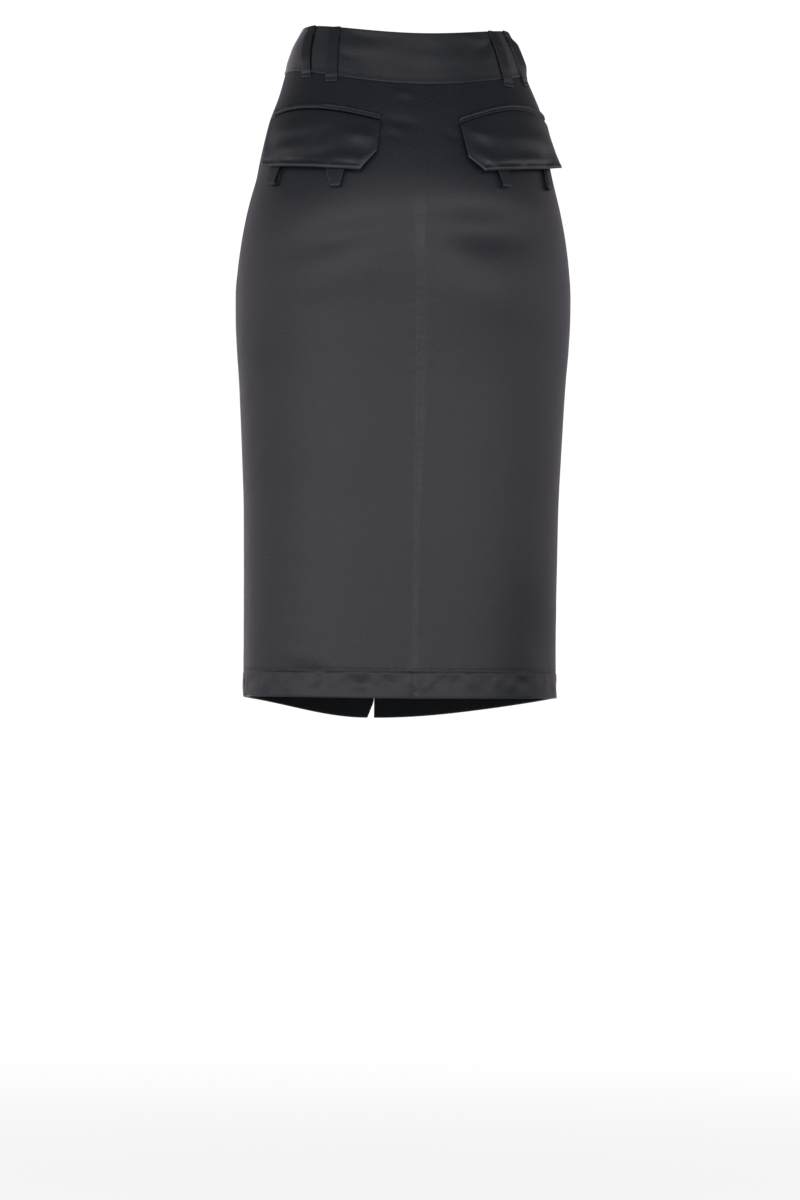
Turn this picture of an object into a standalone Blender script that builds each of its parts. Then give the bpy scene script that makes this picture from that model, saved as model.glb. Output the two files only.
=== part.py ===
"""Satin pencil skirt, worn: a hollow tube of cloth that hangs from its waistband.

+Z is up, the front faces -Y and the wearer's left is +X. The origin is the centre of the waist, 25 mm below
the top of the waistband at the side seams. Sizes are in millimetres until a mesh is made, in metres.

Every piece of cloth is worked out in two measures of the skirt's own: the tape, measured round the skirt
from the centre back (plus to the wearer's left), and the height. The form turns them into a point.
"""

from types import SimpleNamespace

import bmesh
import bpy
import numpy as np
from mathutils import Matrix
from mathutils import Vector

MM = 0.001

# Cloth, in millimetres
WALL = 1.4
HEM_WALL = 2.2
BAND_WALL = 2.4
FLAP_WALL = 2.4
WELT_WALL = 2.0
STRAP_WALL = 1.2
GAP = 0.3

# The waistband and the hem, as heights at the side seams and what they drop by at the centres
BAND_TOP = 25.0
BAND_SEAM = -22.5
TOP_DROP_BACK = 14.0
SEAM_DROP_BACK = 21.3
WAIST_DROP_FRONT = 6.0
HEM = -660.0
HEM_DROP_BACK = 7.0
HEM_DROP_FRONT = 24.0
HEM_TILT = 1.8
HEM_TURN_SIDE = 22.0
HEM_TURN_CENTRE = 28.5
HEM_TURN_TILT = -2.0
BAND_LIFT = 0.9
BAND_CLEARANCE = 0.8
SIDE_SEAM_ANGLE = 87.0

# The centre-back seam strays to the wearer's left over the seat
BACK_SEAM_STRAY = 4.5
STRAY_HEIGHT = -160.0
STRAY_REACH = 120.0

# The closing at the centre front, right over left
BAND_LAP = 30.0
BAND_LAP_FLAT = 4.0
BAND_LAP_RAMP = 26.0
FLY_LAP = 8.0
FLY_LIFT = 3.2
FLY_END = -190.0
FLY_CORNER = 14.0
FLY_FADE = 34.0
FLY_FLAT = 18.0
FLY_RAMP = 26.0

# The slit at the centre front, the drift of that seam towards the wearer's left, and the curled left corner
SLIT_TOP = -504.0
SLIT_GAPE = 0.8
FRONT_SEAM_DRIFT = 12.0
CORNER_HEIGHT = 26.0
CORNER_OPENING = 5.0
CORNER_CURVE = 1.3
CORNER_FLARE = 4.0
CORNER_FLARE_HEIGHT = 67.0
CORNER_FLARE_SHARE = 0.16

# Counts of grid steps
PANEL_COLUMNS = 15
PANEL_ROWS = 34
BAND_COLUMNS = 60
BAND_ROWS = 4

SECTION_COLUMNS = ("height", "half_width", "back", "front", "fullness")
SECTIONS = np.array((
    (-700.0, 159.4, 112.0, 118.0, 2.50),
    (-626.0, 160.2, 112.5, 117.7, 2.48),
    (-564.0, 160.7, 113.5, 117.0, 2.46),
    (-503.0, 161.5, 115.0, 116.3, 2.42),
    (-461.0, 162.3, 116.0, 115.8, 2.39),
    (-420.0, 164.2, 117.4, 115.2, 2.36),
    (-379.0, 166.3, 119.0, 114.6, 2.32),
    (-338.0, 168.7, 121.4, 114.0, 2.28),
    (-303.0, 171.5, 124.2, 113.6, 2.25),
    (-266.0, 173.0, 127.8, 113.2, 2.22),
    (-235.0, 172.3, 131.6, 113.0, 2.20),
    (-194.0, 167.5, 136.6, 112.6, 2.19),
    (-166.0, 162.2, 138.0, 112.3, 2.18),
    (-142.0, 156.5, 135.6, 112.0, 2.17),
    (-116.0, 150.4, 129.2, 111.2, 2.16),
    (-91.0, 145.2, 121.2, 109.6, 2.15),
    (-64.0, 139.4, 112.0, 107.0, 2.14),
    (-47.0, 133.2, 105.6, 103.0, 2.12),
    (-25.0, 125.6, 97.4, 97.0, 2.10),
    (-8.0, 120.5, 92.4, 93.4, 2.08),
    (8.0, 113.9, 88.4, 90.2, 2.06),
    (25.0, 106.0, 84.4, 86.4, 2.05),
    (40.0, 99.0, 81.0, 83.0, 2.05),
))

FOLD_COLUMNS = ("tape", "height", "half_length", "half_height", "slope", "rise")
FOLDS = np.array((
    (-64.0, -204.0, 58.0, 21.0, 0.00, -4.2),
    (-80.0, -160.0, 60.0, 16.0, 0.10, 1.2),
    (77.0, -212.0, 46.0, 13.0, -0.18, -2.0),
    (58.0, -168.0, 46.0, 15.0, -0.10, 0.9),
    (18.0, -84.0, 16.0, 5.0, 0.15, -0.9),
    (55.0, 6.0, 14.0, 7.0, 0.40, -0.8),
    (-72.0, 2.0, 12.0, 7.0, -0.40, -0.8),
    (110.0, -640.0, 26.0, 9.0, 0.12, -1.6),
    (52.0, -652.0, 15.0, 8.0, 0.00, -1.8),
    (0.0, -652.0, 6.0, 12.0, 0.00, 1.4),
    (-150.0, -610.0, 34.0, 40.0, 0.50, -1.6),
    (-196.0, -52.0, 60.0, 26.0, 0.00, 3.4),
    (190.0, -54.0, 60.0, 26.0, 0.00, -2.2),
    (330.0, -210.0, 60.0, 18.0, 0.08, -1.6),
    (-330.0, -205.0, 60.0, 18.0, -0.08, -1.6),
))

# Belt loops: where each one's middle is, as an angle round the skirt from the centre back
LOOP_COLUMNS = ("angle_at_top", "angle_at_bottom")
BELT_LOOPS = {
    "belt_loop_back_inner_left": (52.8, 46.8),
    "belt_loop_back_outer_left": (70.5, 61.6),
    "belt_loop_back_inner_right": (-54.7, -51.7),
    "belt_loop_back_outer_right": (-73.0, -70.5),
    "belt_loop_front_inner_left": (129.0, 132.0),
    "belt_loop_front_outer_left": (110.0, 115.0),
    "belt_loop_front_inner_right": (-129.0, -132.0),
    "belt_loop_front_outer_right": (-110.0, -115.0),
}
LOOP_WIDTH = 13.0
LOOP_BELOW_SEAM = 8.5
LOOP_BELOW_TOP = 1.0
LOOP_CLEARANCE = 2.4
LOOP_SEAT = 0.1
LOOP_STEP = (-6.0, -1.0)
LOOP_RISES = (0.02, 0.22)
LOOP_FALLS = (0.86, 0.62)
LOOP_ROWS = 10
STRAP_COLUMN_STEPS = 2

# Pocket flaps: places along the tape from the centre back, and heights of the top and bottom lines
FLAP_COLUMNS = (
    "inner_top", "inner_bottom", "outer_top", "outer_bottom",
    "top_inner", "top_outer", "arch", "bottom_inner", "bottom_outer", "inner_side",
)
FLAPS = {
    "left": (38.6, 46.5, 179.0, 183.0, -83.6, -71.2, 7.9, -138.0, -126.0, 33.3),
    "right": (41.0, 51.0, 182.0, 187.0, -84.5, -70.3, 12.8, -136.5, -120.3, 37.0),
}
FLAP_ROWS = 6
FLAP_CORNER = 0.10
FLAP_COLUMNS_AT_CORNER = 3
FLAP_STEPS = 14
FLAP_CLEARANCE = 5.6
FLAP_SPRING = 0.8
WELT_HEIGHT = 6.5
WELT_ROUNDING = 0.5
WELT_ROWS = 3

# Strap loops below the flaps: place along the tape, how far each hangs below the flap, its twist
STRAP_COLUMNS = ("flap", "tape", "hang", "twist")
STRAP_LOOPS = {
    "strap_loop_inner_left": ("left", 86.0, 18.0, 2.0),
    "strap_loop_outer_left": ("left", 160.0, 18.0, 4.0),
    "strap_loop_inner_right": ("right", 86.0, 17.0, -3.0),
    "strap_loop_outer_right": ("right", 160.0, 21.0, -1.0),
}
STRAP_WIDTH = 12.0
STRAP_UNDER_FLAP = 16.0
STRAP_ROUND = 1.1
STRAP_PINCH = 0.75
STRAP_LEAN_START = 0.6
STRAP_INNER_LEAN = 0.4
STRAP_ROWS = 20

# Zip and fly shield, behind the lap: distances from the centre front, plus towards the wearer's right
ZIP_OFFSET = 6.0
ZIP_WIDTH = 24.0
ZIP_TAPE_WALL = 0.8
ZIP_CHAIN = 4.0
ZIP_CHAIN_SLOPE = 0.3
ZIP_CHAIN_RISE = 0.9
ZIP_TOP = -38.0
ZIP_BOTTOM = -180.0
ZIP_CHAIN_TOP = -53.0
ZIP_COLUMNS = 5
ZIP_ROWS = 12
SLIDER_SIZE = (7.0, 9.0, 1.3)
SLIDER_EDGE = 0.4
PULL_SIZE = (4.0, 20.0, 1.0)
PULL_EDGE = 0.3
PULL_OVER_SLIDER = 3.0
SHIELD_RIGHT = 22.0
SHIELD_LEFT = 30.0
SHIELD_TOP = -33.0
SHIELD_BOTTOM = -186.0
SHIELD_COLUMNS = 8
SHIELD_ROWS = 10
BUTTON_RADIUS = 8.0
BUTTON_HEIGHT = 2.6
BUTTON_LEVEL = -6.0
BUTTON_EDGE = 0.8
BUTTON_SIDES = 32
SHARP_ANGLE = 35.0

# Satin, buttons and metal
SATIN = (0.030, 0.030, 0.033, 1.0)
TAPE = (0.012, 0.012, 0.013, 1.0)
HORN = (0.010, 0.010, 0.011, 1.0)
METAL = (0.080, 0.080, 0.085, 1.0)


def clear_scene():
    for thing in list(bpy.data.objects):
        bpy.data.objects.remove(thing, do_unlink=True)


def make_material(name, colour, roughness, metallic):
    material = bpy.data.materials.new(name)
    material.use_nodes = True
    shader = material.node_tree.nodes["Principled BSDF"]
    shader.inputs["Base Color"].default_value = colour
    shader.inputs["Roughness"].default_value = roughness
    shader.inputs["Metallic"].default_value = metallic
    return material


def named(columns, row):
    """A table's row, by the names of its columns."""
    return SimpleNamespace(**dict(zip(columns, row)))


def ease(value, start, end):
    """Runs from 0 at start to 1 at end, level at both."""
    share = np.clip((value - start) / (end - start), 0.0, 1.0)
    return share * share * (3.0 - 2.0 * share)


def read_sections(column, height):
    """One size of the ring at any height: a cubic between the rows, with the slope of the rows beside."""
    rows = SECTIONS[:, 0]
    sizes = SECTIONS[:, SECTION_COLUMNS.index(column)]
    slopes = np.gradient(sizes, rows)
    low = np.clip(np.searchsorted(rows, height) - 1, 0, len(rows) - 2)
    step = rows[low + 1] - rows[low]
    share = (height - rows[low]) / step
    rest = 1.0 - share
    ends = sizes[low] * rest * rest * (1.0 + 2.0 * share)
    ends = ends + sizes[low + 1] * share * share * (1.0 + 2.0 * rest)
    bends = slopes[low] * share * rest * rest - slopes[low + 1] * share * share * rest
    return ends + step * bends


def ring_radius(angle, height):
    """Distance of the cloth from the skirt's axis: a superellipse, deeper or shallower at the back."""
    half_width = read_sections("half_width", height)
    depth = np.where(np.cos(angle) > 0.0, read_sections("back", height), read_sections("front", height))
    fullness = read_sections("fullness", height)
    across = np.abs(np.sin(angle) / half_width) ** fullness
    deep = np.abs(np.cos(angle) / depth) ** fullness
    return (across + deep) ** (-1.0 / fullness)


FINE_ANGLES = np.linspace(0.0, np.pi, 241)
NORMAL_STEP = 0.6


def tape_lengths(height):
    """Tape from the centre back to each fine angle, one row for each height."""
    radius = ring_radius(FINE_ANGLES[None, :], height[:, None])
    x = radius * np.sin(FINE_ANGLES)
    y = radius * np.cos(FINE_ANGLES)
    pieces = np.hypot(np.diff(x, axis=1), np.diff(y, axis=1))
    return np.concatenate([np.zeros((len(height), 1)), np.cumsum(pieces, axis=1)], axis=1)


def half_ring(height):
    """Tape from the centre back to the centre front."""
    return tape_lengths(np.atleast_1d(height))[:, -1]


def tape_at_angle(degrees, height):
    """Tape from the centre back to an angle, for each height."""
    lengths = tape_lengths(np.atleast_1d(height))
    place = np.abs(np.radians(degrees)) / np.pi * (len(FINE_ANGLES) - 1)
    low = np.clip(np.floor(place).astype(int), 0, len(FINE_ANGLES) - 2)
    rows = np.arange(len(lengths))
    share = place - low
    return np.sign(degrees) * (lengths[rows, low] * (1.0 - share) + lengths[rows, low + 1] * share)


def angle_at_tape(tape, height):
    """The angle round the skirt at a place on the tape, which may run on past the centre front."""
    lengths = tape_lengths(height)
    half = lengths[:, -1]
    wrapped = np.mod(tape + half, 2.0 * half) - half
    far = np.abs(wrapped)
    low = np.clip((lengths < far[:, None]).sum(axis=1) - 1, 0, len(FINE_ANGLES) - 2)
    rows = np.arange(len(lengths))
    share = (far - lengths[rows, low]) / (lengths[rows, low + 1] - lengths[rows, low])
    return np.sign(wrapped) * (low + share) * np.pi / (len(FINE_ANGLES) - 1)


def fold_rise(tape, height):
    """Height of the largest folds over the plain form: a soft mound or trough for each row."""
    total = np.zeros_like(tape)
    for middle, level, half_length, half_height, slope, rise in FOLDS:
        along = (tape - middle) / half_length
        across = (height - level - slope * (tape - middle)) / half_height
        total = total + rise * np.exp(-along * along - across * across)
    return total


def plain_point(tape, height):
    angle = angle_at_tape(tape, height)
    radius = ring_radius(angle, height) + fold_rise(tape, height)
    return np.stack([radius * np.sin(angle), radius * np.cos(angle), height], axis=-1)


def cloth_point(tape, height, lift=0.0):
    """A point of the skirt's outer face, lifted square to it. Arrays in, one row of x, y, z for each."""
    tape, height, lift = (np.array(values, dtype=float) for values in np.broadcast_arrays(tape, height, lift))
    along = plain_point(tape + NORMAL_STEP, height) - plain_point(tape - NORMAL_STEP, height)
    down = plain_point(tape, height - NORMAL_STEP) - plain_point(tape, height + NORMAL_STEP)
    outward = np.cross(along, down)
    outward /= np.linalg.norm(outward, axis=-1, keepdims=True)
    return plain_point(tape, height) + outward * lift[:, None]


def edge_height(level, back_drop, front_drop, share):
    """A hem or seam round the skirt: share runs from 0 at the centre back to 1 at the centre front."""
    drop = np.where(np.abs(share) < 0.5, back_drop, front_drop)
    return level - drop * np.cos(np.pi * share) ** 2


def hem_turn(share):
    """Depth of the turned-up hem, as its line of stitches shows it."""
    less = HEM_TURN_SIDE - HEM_TURN_CENTRE
    return edge_height(HEM_TURN_SIDE, less, less, share) + HEM_TURN_TILT * np.sin(np.pi * share)


def tape_share(tape, level):
    return tape / half_ring(level)[0]


def new_object(name, mesh, material, parts):
    thing = bpy.data.objects.new(name, mesh)
    thing.data.materials.append(material)
    parts.objects.link(thing)
    return thing


def make_sheet(name, columns, rows, surface, wall, material, parts, thick=None, thin_share=1.0):
    """A wall of cloth. surface(u, v) gives its outer face: u runs with the tape and v downwards, 0 to 1.

    thick(u, v), where given, is 1 where the wall has its whole thickness and 0 where it has thin_share of it.
    """
    grid = bmesh.new()
    bmesh.ops.create_grid(grid, x_segments=columns, y_segments=rows, size=0.5)
    places = np.array([vertex.co[:2] for vertex in grid.verts]) + 0.5
    points = surface(places[:, 0], places[:, 1]) * MM
    weights = np.ones(len(points)) if thick is None else thick(places[:, 0], places[:, 1])
    layer = grid.verts.layers.deform.verify()
    for vertex, point, weight in zip(grid.verts, points, weights):
        vertex.co = point
        vertex[layer][0] = float(weight)
    mesh = bpy.data.meshes.new(name)
    grid.to_mesh(mesh)
    grid.free()
    thing = new_object(name, mesh, material, parts)
    thing.vertex_groups.new(name="thickness")
    solid = thing.modifiers.new("Wall", "SOLIDIFY")
    solid.thickness = wall * MM
    solid.offset = -1.0
    solid.vertex_group = "thickness"
    solid.thickness_vertex_group = thin_share
    solid.use_even_offset = True
    solid.use_quality_normals = True
    mesh.shade_smooth()
    return thing


def side_share():
    """Share of the half ring from the centre back to the side seam, taken at the hip."""
    hip = SECTIONS[np.argmax(SECTIONS[:, 1]), 0]
    return tape_share(tape_at_angle(SIDE_SEAM_ANGLE, hip)[0], hip)


def panel_top(share):
    return edge_height(BAND_SEAM, SEAM_DROP_BACK, WAIST_DROP_FRONT, share) - GAP / 2


def panel_hem(share):
    return edge_height(HEM, HEM_DROP_BACK, HEM_DROP_FRONT, share) + HEM_TILT * np.sin(np.pi * share)


def back_seam(height):
    """Place of the centre-back seam along the tape."""
    away = (height - STRAY_HEIGHT) / STRAY_REACH
    return BACK_SEAM_STRAY * np.exp(-away * away)


def slit_gape(height):
    """Each edge of the slit stands back a little from the seam line, most at the hem."""
    return SLIT_GAPE * ease(height, SLIT_TOP, HEM)


def corner_opening(height):
    """How much further the slit's left edge stands back, over the last stretch above the hem."""
    front_hem = HEM - HEM_DROP_FRONT
    share = np.clip((front_hem + CORNER_HEIGHT - height) / CORNER_HEIGHT, 0.0, 1.0)
    return CORNER_OPENING * share ** CORNER_CURVE


def corner_flare(height, across):
    """How far the left corner of the slit curls outwards. across is 0 at the slit."""
    front_hem = HEM - HEM_DROP_FRONT
    flare = ease(height, front_hem + CORNER_FLARE_HEIGHT, front_hem)
    return CORNER_FLARE * flare * ease(across, CORNER_FLARE_SHARE, 0.0)


def seam_drift(height):
    return FRONT_SEAM_DRIFT * ease(height, FLY_END - FLY_FADE, HEM)


def fly_lap(height):
    return FLY_LAP * ease(height, FLY_END, FLY_END + FLY_CORNER)


def fly_lift(height):
    return FLY_LIFT * ease(height, FLY_END - FLY_FADE, FLY_END)


def row_height(share, v):
    """Rows are even down the panel, and the last but one is the stitched line of the hem."""
    top = panel_top(share)
    hem = panel_hem(share)
    last = (PANEL_ROWS - 1.0) / PANEL_ROWS
    turn = hem_turn(share)
    above = top + (hem + turn - top) * v / last
    below = hem + turn * (1.0 - v) / (1.0 - last)
    return np.where(v <= last, above, below)


def back_panel(side):
    """side is 1 for the wearer's left and -1 for the right."""

    def surface(u, v):
        across = u if side > 0 else 1.0 - u
        height = row_height(side * across * side_share(), v)
        side_seam = tape_at_angle(SIDE_SEAM_ANGLE, height)
        middle = side * back_seam(height)
        tape = middle + GAP / 2 + across * (side_seam - middle - GAP)
        return cloth_point(side * tape, height)

    return surface


def front_panel(side):
    def surface(u, v):
        across = 1.0 - u if side > 0 else u
        height = row_height(side * (1.0 - across * (1.0 - side_share())), v)
        side_seam = tape_at_angle(SIDE_SEAM_ANGLE, height) + GAP / 2
        half = half_ring(height)
        if side > 0:
            front_edge = half - seam_drift(height) - GAP / 2 - slit_gape(height) - corner_opening(height)
            lift = corner_flare(height, across)
        else:
            front_edge = half + seam_drift(height) - GAP / 2 - slit_gape(height) + fly_lap(height)
            before_edge = across * (front_edge - side_seam)
            lift = fly_lift(height) * ease(before_edge, FLY_FLAT + FLY_RAMP, FLY_FLAT)
        tape = front_edge + across * (side_seam - front_edge)
        return cloth_point(side * tape, height, lift)

    return surface


def hem_thickness(u, v):
    """Two thicknesses of cloth in the hem, which is the last row."""
    return (v > (PANEL_ROWS - 1.5) / PANEL_ROWS).astype(float)


def band_top(share):
    return edge_height(BAND_TOP, TOP_DROP_BACK, WAIST_DROP_FRONT, share)


def band_bottom(share):
    return edge_height(BAND_SEAM, SEAM_DROP_BACK, WAIST_DROP_FRONT, share) + BAND_CLEARANCE - GAP / 2


def band_surface(u, v):
    """From the right end, which laps past the centre front, round the back to the left end."""
    half = half_ring(0.0)[0]
    nominal = -half - BAND_LAP + u * (2.0 * half + BAND_LAP)
    share = np.where(nominal < -half, -2.0 - nominal / half, nominal / half)
    height = band_top(share) + v * (band_bottom(share) - band_top(share))
    tape = nominal * half_ring(height) / half
    past_lap = nominal + half
    lift = BAND_LIFT + (BAND_WALL + GAP) * ease(past_lap, BAND_LAP_FLAT + BAND_LAP_RAMP, BAND_LAP_FLAT)
    return cloth_point(tape, height, lift)


def belt_loop(row):
    """A strap on the waistband that stands off between its two sewn ends."""
    loop = named(LOOP_COLUMNS, row)

    def surface(u, v):
        share = tape_share(tape_at_angle(loop.angle_at_top, 0.0)[0], 0.0)
        top = band_top(share) - LOOP_BELOW_TOP
        bottom = band_bottom(share) - LOOP_BELOW_SEAM
        height = top + v * (bottom - top)
        at_top = tape_at_angle(loop.angle_at_top, height)
        at_bottom = tape_at_angle(loop.angle_at_bottom, height)
        middle = at_top + v * (at_bottom - at_top)
        on_band = ease(height - band_bottom(share), *LOOP_STEP)
        seat = GAP + STRAP_WALL + (BAND_LIFT + LOOP_SEAT) * on_band
        off = LOOP_CLEARANCE * ease(v, *LOOP_RISES) * ease(v, *LOOP_FALLS)
        return cloth_point(middle + (u - 0.5) * LOOP_WIDTH, height, seat + off)

    return surface


def flap_top(sizes, u):
    """Top line of a flap, an arch over a slant. u is 0 at the inner end and 1 at the outer."""
    return sizes.top_inner + (sizes.top_outer - sizes.top_inner) * u + sizes.arch * np.sin(np.pi * u)


def flap_bottom(sizes, u):
    """Bottom line of a flap: straight, with the inner corner cut off on a slant."""
    slope = sizes.bottom_outer - sizes.bottom_inner
    side_end = sizes.top_inner - sizes.inner_side
    corner_level = sizes.bottom_inner + slope * FLAP_CORNER
    cut = side_end + (corner_level - side_end) * u / FLAP_CORNER
    return np.where(u < FLAP_CORNER, cut, sizes.bottom_inner + slope * u)


def flap_place(sizes, u, v):
    """Tape, height and clearance under the flap."""
    top = flap_top(sizes, u)
    height = top + v * (flap_bottom(sizes, u) - top)
    drop = np.clip((top - height) / (sizes.top_inner - sizes.bottom_inner), 0.0, 1.0)
    inner = sizes.inner_top + (sizes.inner_bottom - sizes.inner_top) * drop
    outer = sizes.outer_top + (sizes.outer_bottom - sizes.outer_top) * drop
    return inner + u * (outer - inner), height, GAP + FLAP_CLEARANCE * drop ** FLAP_SPRING


def flap_across(side, u):
    """Columns of a flap from its inner end: the first few stand at the cut corner."""
    across = u if side > 0 else 1.0 - u
    return np.interp(across, (0.0, FLAP_COLUMNS_AT_CORNER / FLAP_STEPS, 1.0), (0.0, FLAP_CORNER, 1.0))


def flap(side, sizes):
    def surface(u, v):
        tape, height, clearance = flap_place(sizes, flap_across(side, u), v)
        return cloth_point(side * tape, height, clearance + FLAP_WALL)

    return surface


def welt(side, sizes):
    def surface(u, v):
        tape, height = flap_place(sizes, flap_across(side, u), 0.0 * v)[:2]
        rounding = WELT_ROUNDING * np.sin(np.pi * v)
        return cloth_point(side * tape, height + GAP + (1.0 - v) * WELT_HEIGHT, GAP + WELT_WALL + rounding)

    return surface


def strap_loop(row):
    """A narrow strap folded in two: down the outer leg, round the fold and up the inner leg."""
    strap = named(STRAP_COLUMNS, row)
    side = 1 if strap.flap == "left" else -1
    sizes = named(FLAP_COLUMNS, FLAPS[strap.flap])
    across = (strap.tape - sizes.inner_top) / (sizes.outer_top - sizes.inner_top)
    top = flap_bottom(sizes, across) + STRAP_UNDER_FLAP
    outer_round = STRAP_ROUND + STRAP_WALL
    leg = STRAP_UNDER_FLAP + strap.hang - outer_round
    turn = np.pi * outer_round
    pinched = 2.0 * STRAP_WALL + GAP

    def surface(u, v):
        way = v * (2.0 * leg + turn)
        angle = np.clip((way - leg) / outer_round, 0.0, np.pi)
        straight = np.where(way < leg, way, 2.0 * leg + turn - way)
        down = np.where((way < leg) | (way > leg + turn), straight, leg + outer_round * np.sin(angle))
        on_outer_leg = angle < np.pi / 2
        off = outer_round + outer_round * np.cos(angle)
        pinch = ease(down, leg * STRAP_PINCH, 0.0)
        off = np.where(on_outer_leg, off + (pinched - off) * pinch, off)
        lean = strap.twist * ease(down, STRAP_UNDER_FLAP * STRAP_LEAN_START, leg)
        middle = side * strap.tape + lean * np.where(on_outer_leg, 1.0, STRAP_INNER_LEAN)
        return cloth_point(middle + (u - 0.5) * STRAP_WIDTH, top - down, GAP + off)

    return surface


def facing_matrix(tape, height, lift):
    """Place on the skirt: local x with the tape, y upwards, z outwards."""
    middle = cloth_point([tape], [height], [lift])[0]
    along = Vector(cloth_point([tape + 1.0], [height], [lift])[0] - middle).normalized()
    outward = Vector(cloth_point([tape], [height], [lift + 1.0])[0] - middle).normalized()
    up = outward.cross(along)
    turn = Matrix((along, up, outward)).transposed().to_4x4()
    return Matrix.Translation(Vector(middle) * MM) @ turn


def make_block(name, size, place, material, parts, bevel):
    """A small hard piece: a box with rounded edges, its size in millimetres."""
    block = bmesh.new()
    bmesh.ops.create_cube(block, size=1.0)
    bmesh.ops.scale(block, vec=Vector(size) * MM, verts=block.verts)
    mesh = bpy.data.meshes.new(name)
    block.to_mesh(mesh)
    block.free()
    thing = new_object(name, mesh, material, parts)
    thing.matrix_world = place
    edge = thing.modifiers.new("Edges", "BEVEL")
    edge.width = bevel * MM
    edge.segments = 2
    return thing


def make_button(name, place, material, parts):
    radius = BUTTON_RADIUS * MM
    disc = bmesh.new()
    bmesh.ops.create_cone(
        disc, cap_ends=True, segments=BUTTON_SIDES, radius1=radius, radius2=radius, depth=BUTTON_HEIGHT * MM
    )
    mesh = bpy.data.meshes.new(name)
    disc.to_mesh(mesh)
    disc.free()
    thing = new_object(name, mesh, material, parts)
    thing.matrix_world = place
    edge = thing.modifiers.new("Edges", "BEVEL")
    edge.width = BUTTON_EDGE * MM
    edge.segments = 2
    edge.limit_method = "ANGLE"
    mesh.shade_smooth()
    mesh.set_sharp_from_angle(angle=np.radians(SHARP_ANGLE))
    return thing


def zip_surface(u, v):
    """A tape with a raised chain of teeth along its middle, below the slider."""
    half_places = np.array((ZIP_CHAIN / 2, ZIP_CHAIN / 2 + ZIP_CHAIN_SLOPE, ZIP_WIDTH / 2))
    places = np.concatenate([-half_places[::-1], half_places])
    across = np.interp(u, np.linspace(0.0, 1.0, len(places)), places)
    height = ZIP_TOP + v * (ZIP_BOTTOM - ZIP_TOP)
    on_chain = (np.abs(across) < ZIP_CHAIN / 2 + ZIP_CHAIN_SLOPE / 2) & (height < ZIP_CHAIN_TOP)
    chain = ZIP_CHAIN_RISE * on_chain
    return cloth_point(-half_ring(height) + ZIP_OFFSET + across, height, -WALL - 2.0 * GAP + chain)


def shield_surface(u, v):
    across = -SHIELD_LEFT + u * (SHIELD_LEFT + SHIELD_RIGHT)
    height = SHIELD_TOP + v * (SHIELD_BOTTOM - SHIELD_TOP)
    return cloth_point(-half_ring(height) + across, height, -WALL - ZIP_TAPE_WALL - 3.0 * GAP)


def make_closing(satin, tape, horn, metal, parts):
    make_sheet("fly_shield", SHIELD_COLUMNS, SHIELD_ROWS, shield_surface, WALL, satin, parts)
    make_sheet("zip", ZIP_COLUMNS, ZIP_ROWS, zip_surface, ZIP_TAPE_WALL, tape, parts)
    slider_height = ZIP_TOP - SLIDER_SIZE[1] / 2
    slider_lift = -WALL - GAP + SLIDER_SIZE[2] / 2
    slider_tape = -half_ring(slider_height)[0] + ZIP_OFFSET
    slider_place = facing_matrix(slider_tape, slider_height, slider_lift)
    make_block("zip_slider", SLIDER_SIZE, slider_place, metal, parts, SLIDER_EDGE)
    pull_height = slider_height - PULL_SIZE[1] / 2 + PULL_OVER_SLIDER
    pull_lift = slider_lift + SLIDER_SIZE[2] / 2 + GAP + PULL_SIZE[2] / 2
    pull_place = facing_matrix(-half_ring(pull_height)[0] + ZIP_OFFSET, pull_height, pull_lift)
    make_block("zip_pull", PULL_SIZE, pull_place, metal, parts, PULL_EDGE)
    button_tape = -half_ring(BUTTON_LEVEL)[0] - BAND_LAP / 2
    button_lift = BAND_LIFT + BAND_WALL + 2.0 * GAP + BUTTON_HEIGHT / 2
    make_button("button", facing_matrix(button_tape, BUTTON_LEVEL, button_lift), horn, parts)


def main():
    clear_scene()
    parts = bpy.data.collections.new("SatinPencilSkirt")
    bpy.context.scene.collection.children.link(parts)
    satin = make_material("Satin", SATIN, 0.42, 0.0)
    tape = make_material("Zip tape", TAPE, 0.8, 0.0)
    horn = make_material("Button", HORN, 0.3, 0.0)
    metal = make_material("Zip metal", METAL, 0.35, 1.0)

    thin = WALL / HEM_WALL
    for side, word in ((1, "left"), (-1, "right")):
        make_sheet("back_" + word, PANEL_COLUMNS, PANEL_ROWS, back_panel(side), HEM_WALL, satin, parts,
                   hem_thickness, thin)
        make_sheet("front_" + word, PANEL_COLUMNS, PANEL_ROWS, front_panel(side), HEM_WALL, satin, parts,
                   hem_thickness, thin)
        sizes = named(FLAP_COLUMNS, FLAPS[word])
        make_sheet("flap_" + word, FLAP_STEPS, FLAP_ROWS, flap(side, sizes), FLAP_WALL, satin, parts)
        make_sheet("welt_" + word, FLAP_STEPS, WELT_ROWS, welt(side, sizes), WELT_WALL, satin, parts)
    make_sheet("waistband", BAND_COLUMNS, BAND_ROWS, band_surface, BAND_WALL, satin, parts)
    for name, row in BELT_LOOPS.items():
        make_sheet(name, STRAP_COLUMN_STEPS, LOOP_ROWS, belt_loop(row), STRAP_WALL, satin, parts)
    for name, row in STRAP_LOOPS.items():
        make_sheet(name, STRAP_COLUMN_STEPS, STRAP_ROWS, strap_loop(row), STRAP_WALL, satin, parts)
    make_closing(satin, tape, horn, metal, parts)


main()
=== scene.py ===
"""Looks of the satin pencil skirt: cloth, sewing, closing and finishes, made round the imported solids.

Sizes are in millimetres until a mesh is made, in metres. Every piece of cloth is worked out in two measures
of the skirt's own: the tape, measured round the skirt from the centre back (plus to the wearer's left), and
the height above the origin. SkirtForm turns them into points, and everything else asks it for its points.
"""

import logging
import math
from dataclasses import dataclass
from enum import Enum
from typing import NamedTuple, Sequence

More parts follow.
